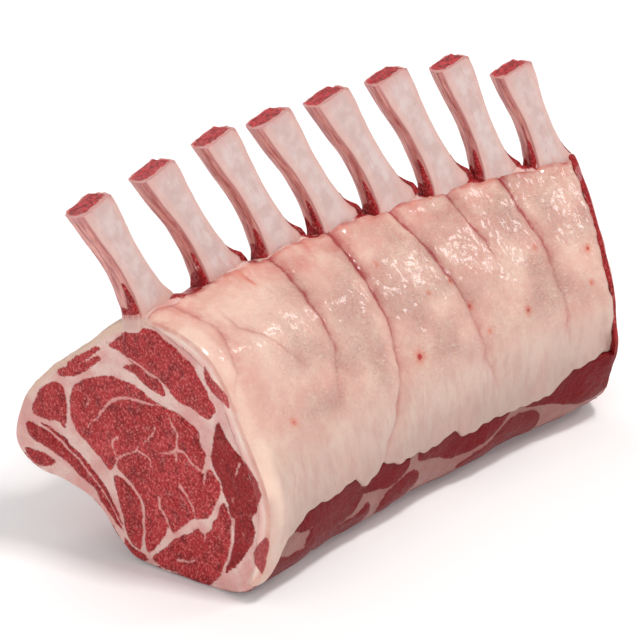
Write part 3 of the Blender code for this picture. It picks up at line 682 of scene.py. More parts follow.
def ribBoneScraped():
    made, tree, shader = newMaterial("ribBoneScraped", {
        "Roughness": 0.36, "IOR": 1.50, "Subsurface Weight": 0.15, "Subsurface Scale": 0.003,
        "Coat Weight": 0.45, "Coat Roughness": 0.12})
    spot = addNode(tree, "ShaderNodeTexCoord", None, "Object")
    across, front, rise, upShare, seed, cutTip, rimIn = (
        addNode(tree, "ShaderNodeAttribute", None, "Fac", attribute_name=name)
        for name in ("across", "front", "rise", "upShare", "seed", "cutTip", "rimIn"))
    # a vector that changes slowly along the bone and quickly round it
    onBone = addNode(tree, "ShaderNodeCombineXYZ", {0: across, 1: front, 2: rise}, 0)
    apart = addNode(tree, "ShaderNodeCombineXYZ", {0: seed, 1: 0.0, 2: 0.0}, 0)
    lengthwise = addNode(tree, "ShaderNodeVectorMath", {0: onBone, 1: (0.0075, 0.0038, 0.00014), 2: apart}, 0,
                         operation="MULTIPLY_ADD")
    streak, cloudy, cells = (
        addNode(tree, "ShaderNodeTexNoise", {"Vector": vector, "Scale": 1 / size, "Detail": 4.0,
                                             "Roughness": rough}, 0)
        for vector, size, rough in (
            (lengthwise, 0.0011, 0.65), (spot, 0.005, 0.5),
            (spot, 0.0012, 0.7)))      # spongy marrow, cells about 1 mm
    acrossSize, frontSize = (addNode(tree, "ShaderNodeMath", {0: way}, 0, operation="ABSOLUTE")
                             for way in (across, front))
    # above 0 on the flank, below 0 on the front and back
    flank = addNode(tree, "ShaderNodeMath", {0: acrossSize, 1: frontSize}, 0, operation="SUBTRACT")
    wander = addNode(tree, "ShaderNodeMath", {0: cloudy, 1: 0.1, 2: -0.05}, 0, operation="MULTIPLY_ADD")
    flank = addNode(tree, "ShaderNodeMath", {0: flank, 1: wander}, 0, operation="ADD")
    amount = {
        # name: (read from, start, end, least, most)
        "cloud": (cloudy, 0.35, 0.65, 0.0, 1.0), "side": (acrossSize, 0.25, 0.85, 0.0, 0.8),
        "streak": (streak, 0.52, 0.75, 0.0, 0.6), "film": (streak, 0.32, 0.66, 0.0, 1.0),
        "left": (across, 0.1, -0.1, 0.0, 1.0), "leftFlank": (flank, -0.16, 0.14, 0.0, 1.0),
        "edgeIn": (flank, -0.1, 0.02, 0.0, 1.0), "edgeOut": (flank, 0.2, 0.08, 0.0, 1.0),
        "edgeStreak": (streak, 0.3, 0.6, 0.0, 0.6), "rightFlank": (flank, 0.1, 0.35, 0.0, 1.0),
        "right": (across, -0.1, 0.1, 0.0, 0.75), "behind": (front, -0.55, -0.95, 0.0, 0.55),
        "foot": (rise, 9.0, -1.0, 0.0, 1.0), "footStreak": (streak, 0.4, 0.7, 0.15, 0.45),
        "tip": (upShare, 0.88, 1.0, 0.0, 1.0), "tipCloud": (cloudy, 0.4, 0.6, 0.1, 0.6),
        "marrow": (cells, 0.38, 0.62, 0.0, 1.0), "wall": (front, 0.0, 0.9, 0.0, 1.0),
        "cut": (cutTip, 0.4, 0.9, 0.0, 1.0),
    }
    for name, ramp in amount.items():
        amount[name] = addNode(tree, "ShaderNodeMapRange", dict(enumerate(ramp)), 0,
                               interpolation_type="SMOOTHSTEP")
    # the first bone's foot is covered with fat, where it meets the cut face
    lowest = addNode(tree, "ShaderNodeMapRange", {0: rise, 1: 3.5, 2: 2.0}, 0)
    isFirst = addNode(tree, "ShaderNodeMath", {0: seed, 1: 1.5}, 0, operation="LESS_THAN")
    # the hard wall is thick at the front and thin elsewhere
    onLeft, onEdge, onRight, footRed, tipRed, covered, wall = (
        addNode(tree, "ShaderNodeMath", {0: first, 1: second}, 0, operation="MULTIPLY")
        for first, second in (
            (amount["leftFlank"], amount["left"]), (amount["edgeIn"], amount["edgeOut"]),
            (amount["rightFlank"], amount["right"]), (amount["foot"], amount["footStreak"]),
            (amount["tip"], amount["tipCloud"]), (lowest, isFirst), (amount["wall"], -1.1)))
    for part in (amount["left"], amount["edgeStreak"]):
        onEdge = addNode(tree, "ShaderNodeMath", {0: onEdge, 1: part}, 0, operation="MULTIPLY")
    sponge = addNode(tree, "ShaderNodeMath", {0: cells, 1: 1.4, 2: -0.7}, 0, operation="MULTIPLY_ADD")
    rim = rimIn
    for part in (sponge, wall):
        rim = addNode(tree, "ShaderNodeMath", {0: rim, 1: part}, 0, operation="ADD")
    inRim = addNode(tree, "ShaderNodeMapRange", {0: rim, 1: 0.15, 2: 0.65}, 0,
                    interpolation_type="SMOOTHSTEP")
    film, marrow = (
        addNode(tree, "ShaderNodeMix", {0: share, 6: linear(first), 7: linear(second)}, 2, data_type="RGBA")
        for share, first, second in ((amount["film"], "#a54b4a", "#dd9b91"),
                                     (amount["marrow"], "#860711", "#d8353a")))
    cutFace = addNode(tree, "ShaderNodeMix", {0: inRim, 6: linear("#d99c96"), 7: marrow}, 2, data_type="RGBA")
    colour = linear("#cfb1ac")
    for share, paint in (
            (amount["cloud"], linear("#dcc6c2")), (amount["side"], linear("#deb4aa")),
            (amount["streak"], linear("#cf9c97")), (onLeft, film), (onEdge, linear("#9c3a38")),
            (onRight, linear("#a9504d")), (amount["behind"], film), (footRed, linear("#dc9c92")),
            (tipRed, linear("#cf8f8b")), (covered, linear("#dab0a5")), (amount["cut"], cutFace)):
        colour = addNode(tree, "ShaderNodeMix", {0: share, 6: colour, 7: paint}, 2, data_type="RGBA")
    grooves = addNode(tree, "ShaderNodeBump", {"Strength": 0.16, "Distance": 0.0004, "Height": streak}, 0)
    pores = addNode(tree, "ShaderNodeBump", {"Strength": amount["cut"], "Distance": 0.001, "Height": cells,
                                             "Normal": grooves}, 0)
    # the moist marrow scatters its own light, so less of the wet film shows on it
    coat = addNode(tree, "ShaderNodeMapRange", {0: cutTip, 1: 0.4, 2: 0.9, 3: 0.45, 4: 0.12}, 0)
    for socket, value in (("Base Color", colour), ("Normal", pores), ("Coat Weight", coat)):
        tree.links.new(value, shader.inputs[socket])
    return made


leanFinish, fatFinish, boneFinish = lambLean(), lambFat(), ribBoneScraped()

# the lean body, under the fat and round the bones

leanBodySizes = {
    "rows": 236, "bedColumns": 40, "stripColumns": 46, "undersideColumns": 30, "backColumns": 78,
    "cell": 0.60,          # spacing of the points on the near cut face
    "leanProud": 0.35,     # how far the muscles stand above their seams
}
capSizes = {
    "columns": 172, "rows": 390, "innerColumns": 18, "innerRows": 60, "bandRows": 10,
    "lips": (0.035, 0.022, 0.008),     # how far its thin top, bottom and far edges reach past its bed
    # a crease's soft valley, its sharp line, and how far its far side lies below its near side
    "valley": 0.60, "groove": 0.42, "fold": 0.55,
    "valleyWide": (5.0, 3.0), "grooveWide": 0.55, "foldLong": 4.5,
}


def sideMap(t, u, z, pastCap):
    # what shows on the outside of the meat: mm inside lean, tone and film
    flat = np.stack([t * rack["length"] * 0.4, u * rack["girth"], 0 * t], axis=-1)
    ridge = backRidge(t, z)
    patchy = lumps(flat, 9.0, 11)
    edge = np.where(u > 0.60, 1.6 - 4.2 * ridge + 2.0 * patchy, 1.2 + 2.6 * patchy)
    tone = np.where(u > 0.60, 0.35, 0.55)
    onStrip = (u > 0.30) & (u < rack["stripEnds"])
    stripEdge, stripTone = stripMap(t[onStrip], u[onStrip])
    share = smooth((rack["stripEnds"] - u[onStrip]) / 0.02)
    edge[onStrip] = stripEdge * share + edge[onStrip] * (1 - share)
    tone[onStrip] = stripTone * share + tone[onStrip] * (1 - share)
    crest = smooth((0.03 - np.minimum(u, 1 - u)) / 0.01)
    nearBone = np.zeros(t.shape)
    for bone in bones:
        nearBone = np.maximum(nearBone, bump((t * rack["length"] - bone[0]) / 11.0))
    edge = edge * (1 - crest) + (1.7 - 3.2 * nearBone + 1.3 * lumps(flat, 3.0, 12)) * crest
    tone = tone * (1 - crest) + 0.5 * crest
    edge = np.where(pastCap & (u < 0.30), 3.0, edge)
    tone = np.where(pastCap & (u < 0.30), 0.75, tone)
    film = smooth((u - 0.64) / 0.04) * smooth((0.985 - u) / 0.02) * (0.25 + 0.5 * ridge)
    return edge, tone, film


def makeLeanBody():
    upper, below = rack["capUpper"], 0.0035
    size = leanBodySizes
    columns = [("u", share, 0) for share in np.linspace(0.0, upper - below, 6)] + [("u", upper - below, 1)]
    columns += [("bed", share, 1) for share in np.linspace(0.0, 1.0, size["bedColumns"])]
    columns += [("lower", below, 1)]
    columns += [("strip", share, 0) for share in np.linspace(0.0, 1.0, size["stripColumns"])]
    strip, heel = rack["stripEnds"], rack["undersideEnds"]
    columns += [("u", u, 0) for u in np.linspace(strip, heel, size["undersideColumns"])[1:]]
    columns += [("u", u, 0) for u in np.linspace(heel, 1.0, size["backColumns"])[1:-1]]
    taus = [(tau, True) for tau in np.concatenate([[0.002], np.linspace(0.0045, 1.0, size["rows"])])]
    taus += [(1.0 + tau, False) for tau in np.linspace(0.0, 1.0, 12)]
    lowers = capLower(np.array([min(tau, 1.0) * rack["capRead"] for tau, onCap in taus]))
    rowsT, rowsU, rowsSunk, rowsPast = [], [], [], []
    for (tau, onCap), lower in zip(taus, lowers):
        us, sunk = [], []
        for kind, share, bed in columns:
            u = {"u": share, "bed": upper + share * (lower - upper), "lower": lower + below,
                 "strip": lower + below + share * (strip - lower - below)}[kind]
            us.append(u)
            inCap = (u - upper) / (lower - upper)
            sunk.append(capThickness(inCap) - 0.60 if bed and onCap else 0.0)
        us = np.array(us)
        end = capEnd(us) + rack["gap"] / rack["length"]
        rowsT.append(tau * end if onCap else end + (tau - 1.0) * (1.0 - end))
        rowsU.append(us)
        rowsSunk.append(sunk)
        rowsPast.append(np.full(len(us), not onCap))
    t, u, sunk, past = map(np.array, (rowsT, rowsU, rowsSunk, rowsPast))
    rows, count = t.shape
    w, z = outline(t, u)
    nw, nz = outward(t, u)
    edge, tone, film = (v.reshape(rows, count) for v in sideMap(*(a.ravel() for a in (t, u, z, past))))
    onBack = smooth((u - 0.66) / 0.05) * smooth((0.99 - u) / 0.04)
    relief = (backRidge(t, z) * 2.2 - 0.8) * onBack * smooth((t - 0.05) / 0.08)
    onFront = smooth((u - 0.30) / 0.05) * smooth((0.47 - u) / 0.05)
    relief += 0.5 * onFront * np.sin((t * rack["length"] - 0.9 * z) / 7.5) * smooth((t - 0.02) / 0.06)
    nub = bump(np.hypot((t - 0.995) * rack["length"] / 5.0, (z - 31.0) / 7.0))
    relief += 3.2 * nub * smooth((0.45 - u) / 0.05)
    base = place(t, w, z)
    relief += 0.35 * lumps(base, 6.0, 3) + 0.15 * lumps(base, 2.0, 4)
    relief += size["leanProud"] * (smooth((edge + 0.6) / 1.2) - 0.5) * smooth(t / 0.01)
    relief = np.where(sunk > 0, 0.0, relief - 0.5 * bump(t * rack["length"] / 0.9)) - sunk
    outW, outZ = w + nw * relief, np.maximum(z + nz * relief + climb(t, w, z), 0.0)
    points = place(t, outW, outZ)
    rimPale = (smooth((u - 0.78) / 0.05) * bump(t * rack["length"] / 7.0)).ravel()
    edge = edge - 4.0 * rimPale.reshape(edge.shape)
    values = {"leanEdge": edge.ravel(), "tone": tone.ravel(), "skin": film.ravel(),
              "veinEdge": np.full(t.size, outside), "pale": rimPale,
              # shade: painted shade on the strip and the underside, which face down, away from the lights
              "shade": (smooth((u - 0.30) / 0.02) * smooth((0.70 - u) / 0.06)).ravel()}
    faces = gridFaces(rows, count)

    # near cut face: an even net of points inside the first ring
    loop = np.stack([outW[0], outZ[0]], axis=-1)
    cell = size["cell"]
    grid = [(x + (row % 2) * cell / 2, y) for row, y in enumerate(np.arange(0.2, 96, cell * 0.866))
            for x in np.arange(-10, 98, cell)]
    grid = np.array(grid)
    far, inside = distanceTo(grid, loop, True)
    grid = grid[inside & (far > 0.35 * cell)]
    net = delaunay_2d_cdt([Vector(p) for p in np.concatenate([loop, grid])],
                          [(i, (i + 1) % count) for i in range(count)], [], 1, 1e-7)
    flat, netFaces, origin = np.array([tuple(v) for v in net[0]]), net[2], net[3]
    fw, fz = flat[:, 0], flat[:, 1]
    faceEdge, faceTone, faceVein = muscleMap(fw, fz)
    out, depth = faceRelief(fw, fz, faceEdge, faceVein)
    onFace = place(np.zeros(len(fw)), fw, fz) - heading(0.0) * out[:, None]
    # the rim is shared with the side, or with the edge of the fat's bed
    for new, olds in enumerate(origin):
        for old in olds:
            if old < count and sunk[0, old] == 0:
                onFace[new] = points[0, old]
            elif old < count:
                points[0, old] = onFace[new]
    offset = points.size // 3
    allPoints = [points.reshape(-1, 3), onFace]
    faces += [tuple(offset + i for i in f) for f in netFaces]
    facePale = smooth((3.4 - depth) / 2.6) * smooth((fz - 44.0) / 10.0) * smooth((fw - 34.0) / 10.0)
    values = extend(values, {"leanEdge": faceEdge, "tone": faceTone, "veinEdge": faceVein, "pale": facePale},
                    len(fw))
    offset += len(onFace)

    # far face: rings to its middle, domed, with the same muscles running through to it
    last = (rows - 1) * count
    endW, endZ = (w - nw)[-1], np.maximum((z - nz)[-1], 0.4)
    centre, nearCentre = np.array([26.0, 43.0]), np.array([40.0, 44.0])
    angle = np.unwrap(np.arctan2(endZ - centre[1], endW - centre[0]))
    angle = np.sort(angle)[::-1] if angle[-1] < angle[0] else np.sort(angle)
    radius = np.hypot(endW - centre[0], endZ - centre[1])
    nearW, nearZ = outline(np.zeros(400), np.linspace(0, 1, 400, endpoint=False))
    nearAngle = np.arctan2(nearZ - nearCentre[1], nearW - nearCentre[0])
    order = np.argsort(nearAngle)
    nearRadius = np.hypot(nearW - nearCentre[0], nearZ - nearCentre[1])
    nearRadius = np.interp(angle, nearAngle[order], nearRadius[order], period=2 * math.pi)
    shares = 1.0 - np.linspace(0.0, 1.0, 40)[1:-1] ** 1.5
    shares = np.concatenate([[0.985], shares[shares < 0.97]])
    ahead = heading(1.0)
    for share in shares:
        rw, rz = centre[0] + share * radius * np.cos(angle), centre[1] + share * radius * np.sin(angle)
        qw, qz = (nearCentre[0] + share * nearRadius * np.cos(angle),
                  nearCentre[1] + share * nearRadius * np.sin(angle))
        ringEdge, ringTone, ringVein = muscleMap(qw, qz)
        dome = rack["farDome"] * math.sqrt(max(1.0 - share ** 2.6, 0.0))
        dome = dome + (size["leanProud"] * smooth((ringEdge + 0.2) / 1.4)
                       + 0.3 * lumps(np.stack([rw, rz, 0 * rw], -1), 4.0, 23)) * smooth((1 - share) / 0.05)
        allPoints.append(place(np.ones(count), rw, rz) + ahead * dome[:, None])
        values = extend(values, {"leanEdge": ringEdge, "tone": ringTone + 0.15, "veinEdge": ringVein}, count)
    firstRing = list(range(last, last + count))
    for k in range(len(shares)):
        ring = list(range(offset + k * count, offset + (k + 1) * count))
        faces += [(firstRing[i], ring[i], ring[(i + 1) % count], firstRing[(i + 1) % count])
                  for i in range(count)]
        firstRing = ring
    allPoints.append(np.mean(allPoints[-1], axis=0)[None, :])
    values = extend(values, {"leanEdge": [2.0], "tone": [0.1], "veinEdge": [outside]}, 1)
    middle = offset + len(shares) * count
    faces += [(firstRing[i], middle, firstRing[(i + 1) % count]) for i in range(count)]
    return makePiece("leanBody", np.concatenate(allPoints), faces, values, leanFinish)


# the fat cap

creases = (
    # strength, then (part of the length, height) from the top down
    (0.70, [(0.284, 91.4), (0.273, 82.4), (0.277, 78.3), (0.279, 70.6), (0.271, 65.3), (0.253, 56.6)]),
    (1.00, [
        (0.425, 91.5), (0.425, 79.8), (0.427, 72.1), (0.425, 58.9), (0.419, 54.2), (0.385, 40.4),
        (0.339, 28.9)]),
    (0.85, [
        (0.565, 90.6), (0.589, 83.0), (0.611, 71.8), (0.635, 62.2), (0.641, 54.2), (0.643, 47.0),
        (0.669, 35.5)]),
    (0.70, [(0.693, 90.5), (0.711, 82.7), (0.731, 76.3), (0.733, 71.5)]),
    (0.85, [(0.816, 89.3), (0.838, 79.0), (0.852, 73.0), (0.864, 63.6), (0.870, 54.2), (0.872, 42.2)]),
    (0.28, [(0.095, 86.0), (0.140, 80.5), (0.175, 73.0), (0.200, 66.0)]),
    (0.30, [(0.050, 90.9), (0.060, 88.2), (0.040, 82.2), (0.032, 77.2), (0.008, 72.8)]),
)
bloodSpots = (
    # part of the length, height, radius in mm, strength
    (0.473, 55.7, 1.5, 1.0), (0.609, 71.4, 0.9, 0.8), (0.635, 62.8, 1.0, 0.8), (0.770, 54.8, 1.1, 0.8),
    (0.665, 53.5, 0.8, 0.6), (0.958, 64.6, 1.0, 0.9), (0.946, 55.2, 0.9, 0.6), (0.834, 70.4, 1.0, 0.5),
    (0.549, 70.9, 0.8, 0.5), (0.120, 55.7, 1.2, 0.6), (0.204, 90.5, 0.8, 0.6), (0.467, 83.0, 0.8, 0.4),
)


def creaseAcross(t, z, line):
    # mm from the line, and how much of the crease is left at this height
    knots = np.array(line[::-1], float)
    at = np.interp(z, knots[:, 1], knots[:, 0])
    fade = smooth((z - knots[0, 1] + 8) / 16) * smooth((knots[-1, 1] + 6 - z) / 6)
    return (t - at) * rack["length"], fade


def makeCap():
    # an outer grid whose edges turn in, stitched to a plain inner one
    size, upper = capSizes, rack["capUpper"]
    lipTop, lipLow, lipFar = size["lips"]
    shares = np.linspace(-lipTop, 1.0 + lipLow, size["columns"])
    columns = [(0.0, 1.0), (-lipTop, 0.45)] + [(s, 0.0) for s in shares] + [(1.0 + lipLow, 0.45), (1.0, 1.0)]
    rows = [(0.0, d) for d in np.linspace(1.0, 0.10, size["bandRows"])]
    rows += [(0.0018, 0.0)] + [(tau, 0.0) for tau in np.linspace(0.0042, 1.0 + lipFar, size["rows"])]
    rows += [(1.0 + lipFar, 0.45), (1.0, 1.0)]
    tau = np.array([r[0] for r in rows])[:, None]
    share = np.array([c[0] for c in columns])[None, :]
    sunkShare = np.maximum(np.array([r[1] for r in rows])[:, None],
                           np.array([c[1] for c in columns])[None, :])
    lower = capLower(np.minimum(tau[:, 0], 1.0) * rack["capRead"])[:, None]
    u = upper + share * (lower - upper)
    t = np.minimum(tau * capEnd(u), 0.999)
    w, z = outline(t, u)
    nw, nz = outward(t, u)
    thick = capThickness(share) + 0 * t
    base = place(t, w, z)
    mark, valley, groove, fold = (np.zeros(t.shape) for _ in range(4))
    for strength, line in creases:
        across, fade = creaseAcross(t, z, line)
        across = across + 0.8 * lumps(np.stack([0 * t, z, 0 * t], -1), 5.0, 31) + 0.35 * lumps(base, 1.8, 41)
        fold = np.maximum(fold, strength * fade * smooth((across + 0.3) / 1.0)
                          * np.exp(-np.maximum(across, 0) / size["foldLong"]))
        wide = np.where(across > 0, *size["valleyWide"])
        valley = np.maximum(valley, strength * fade * bump(across / wide))
        groove = np.maximum(groove, strength * fade * bump(across / size["grooveWide"]))
        mark = np.maximum(mark, strength * fade * (0.35 + 0.65 * smooth((z - 60.0) / 22.0)) * (
            1.1 * bump(across / 0.7) + 0.50 * bump((across - 0.8) / 2.4) * (1 + lumps(base, 4.0, 45))))
    relief = 0.5 - size["valley"] * valley - size["groove"] * groove - size["fold"] * fold
    relief += 0.35 * lumps(base, 14.0, 32) + 0.28 * lumps(base, 5.0, 33)
    skew = np.stack([t * rack["length"] + 0.5 * z, (z - 0.5 * t * rack["length"]) * 0.45, 0 * t], -1)
    ruffled = smooth((z - 40.0) / 16.0) * smooth((97.0 - z) / 14.0)
    relief += (0.10 + 0.14 * ruffled) * lumps(skew, 2.2, 34) + 0.10 * ruffled * lumps(base, 1.1, 42)
    relief = relief * smooth(t / 0.03)
    # its other edges thin out and sink into the meat that they lie on
    edge = np.minimum(np.minimum(share + lipTop, 1 + lipLow - share) * 90.0, (1 + lipFar - tau) * 174.0)
    edge = edge + 0.7 * lumps(base, 3.0, 40)
    relief = relief + 0.35 * smooth(edge / 2.0) * (1 - smooth((edge - 4.0) / 5.0)) * smooth(t / 0.02)
    relief -= 0.5 * bump(t * rack["length"] / 0.9) + 1.5 * (1 - smooth((edge + 0.4) / 2.2))
    depth = thick * sunkShare
    relief = relief * (1 - sunkShare) - depth
    outW, outZ = w + nw * relief, z + nz * relief + climb(t, w, z)
    points = place(t, outW, np.maximum(outZ, 0.0))
    # the band that shows at the near cut has the muscles and the relief of the cut face
    band = size["bandRows"]
    onBand = (tau <= 0.0) & (sunkShare > 0)
    bandEdge = np.full(t.shape, outside)
    bandTone = np.zeros(t.shape)
    bandEdge[:band + 1], bandTone[:band + 1], bandVein = (
        v.reshape(band + 1, -1) for v in muscleMap(outW[:band + 1].ravel(), outZ[:band + 1].ravel()))
    bandOut = np.zeros(t.shape)
    onFace = (outW[:band], outZ[:band], bandEdge[:band], bandVein[:band])
    bandOut[:band] = faceRelief(*(v.ravel() for v in onFace))[0].reshape(band, -1)
    bandOut[:band] += 0.06 * (sunkShare[:band] > 0.05)     # just covers the lean beside it
    bandOut[0] -= 0.10     # and ends level with it at its inner edge
    points = points - heading(0.0) * bandOut[..., None]
    mark = np.maximum(mark, 0.7 * bump((share + 0.014) / 0.014) * np.clip(0.4 + lumps(base, 3.0, 46), 0, 1))
    blood = np.zeros(t.shape)
    for st, sz, radius, strength in bloodSpots:
        gone = np.hypot((t - st) * rack["length"], (z - sz) * 1.1)
        wobble = 1.0 + 0.35 * lumps(base, 1.4, 35)
        blood = np.maximum(blood, strength * (0.8 * bump(gone / (0.8 * radius * wobble)) + 0.30 * bump(
            gone / (2.2 * radius * wobble))))
    pink = 0.85 * smooth((z - 82.0) / 9.0) * (0.55 + 0.7 * lumps(base, 6.0, 36)) * smooth((t - 0.10) / 0.3)
    nearCut = bump(t * rack["length"] / 6.0 - 1.6)
    pink += 0.45 * smooth((z - 89.0) / 3.0) + 0.3 * nearCut * smooth((z - 60) / 20.0)
    pink += 0.20 * valley * (0.7 + 0.5 * lumps(base, 5.0, 37)) + 0.15 * bump(t * rack["length"] / 3.0)
    pink += 0.3 * np.clip(lumps(base, 12.0, 38), 0, 1) + 0.35 * onBand
    pink += 0.45 * np.exp(-(np.hypot((t - 0.184) * rack["length"], (z - 92.9) * 2.0) / 7.0) ** 2)
    pink += 0.9 * smooth((0.006 - share) / 0.012) * (1 - onBand)
    pink += 0.9 * bump((t - 0.97) * rack["length"] / 6.0) * smooth((z - 70.0) / 14.0) * np.clip(
        0.5 + 0.9 * lumps(skew, 3.0, 44), 0, 1)
    # brighter cream on the near end's rounded roll: partly the fat's own colour, partly a painted highlight
    paleRimAndHighlight = smooth((9.0 - t * rack["length"]) / 5.0) * (1 - onBand)
    paleRimAndHighlight = paleRimAndHighlight * (0.3 + 0.7 * smooth((z - 18.0) / 30.0))
    paleTop = 0.7 * smooth((z - 64.0) / 18.0) * smooth((0.5 - t) / 0.4)
    pale = np.maximum(paleRimAndHighlight, paleTop) * (0.75 + 0.5 * lumps(base, 6.0, 43))
    # painted shade: darker towards the table, where the fat's front turns down away from the lights
    low = 0.55 * smooth((44.0 - z) / 20.0) * smooth((t - 0.03) / 0.05) + 0 * u
    cream = smooth((62.0 - z) / 22.0) * (1 - onBand)
    pebble = smooth((z - 42.0) / 14.0) * smooth((96.0 - z) / 12.0) * (0.35 + 0.65 * smooth((t - 0.05) / 0.2))
    pebble = pebble * (0.75 + 0.5 * lumps(base, 8.0, 39)) * (1 - onBand)
    values = {
        "crease": mark * (sunkShare == 0), "blood": blood * (sunkShare == 0), "pink": np.clip(pink, 0, 1),
        "cream": cream, "pebble": np.clip(pebble, 0, 1), "leanEdge": bandEdge, "tone": bandTone,
        "pale": np.clip(pale, 0, 1), "low": low, "inside": onBand * smooth((depth - 0.6) / 4.6)}
    count, deep = len(columns), len(rows)
    innerT = np.linspace(0.0, 1.0, size["innerRows"])[:, None]
    innerS = np.linspace(0.0, 1.0, size["innerColumns"])[None, :]
    lower = capLower(innerT[:, 0] * rack["capRead"])[:, None]
    iu = upper + innerS * (lower - upper)
    it = innerT * capEnd(iu)
    iw, iz = outline(it, iu)
    inw, inz = outward(it, iu)
    back = capThickness(innerS)
    inner = place(it, iw - inw * back, np.maximum(iz - inz * back + climb(it, iw, iz), 0.0))
    n, m = size["innerRows"], size["innerColumns"]

    outerIds, outerAt = rimOf(np.clip(tau[:, 0], 0, 1), np.clip(share[0], 0, 1), 0)
    innerIds, innerAt = rimOf(innerT[:, 0], innerS[0], deep * count)
    faces = gridFaces(deep, count, closed=False) + gridFaces(n, m, closed=False, start=deep * count)
    faces += stitch(outerIds, innerIds, outerAt, innerAt)
    spare = np.zeros(n * m)
    for key in values:
        values[key] = np.concatenate([values[key].ravel(), spare + (outside if key == "leanEdge" else 0.0)])
    every = np.concatenate([points.reshape(-1, 3), inner.reshape(-1, 3)])
    return makePiece("fatCapSkin", every, faces, values, fatFinish)


# the bones, all from one tree

boneSizes = {
    "sides": 56, "segments": 96, "root": 24.0, "bow": 0.0016,
    # its free part, as (part of the rise, width in 20 mm) and (part of the rise, depth in 10 mm)
    "widths": ((0.0, 0.98), (0.06, 0.85), (0.12, 0.75), (0.21, 0.685), (0.30, 0.635), (0.42, 0.61),
               (0.55, 0.62), (0.69, 0.695), (0.82, 0.775), (1.0, 0.81)),
    "depths": ((0.0, 0.94), (0.20, 0.83), (0.40, 0.74), (0.58, 0.695), (0.75, 0.67), (1.0, 0.69)),
    "square": 0.50,        # power of the section: 1 is an ellipse, towards 0 a box
    "foot": 3.5,           # it keeps its full width down to this far below the meat's top
    "sway": 0.11,          # how much of the side lean comes in its upper part
    "tipCut": (-0.15, 0.06, 1.0),
}


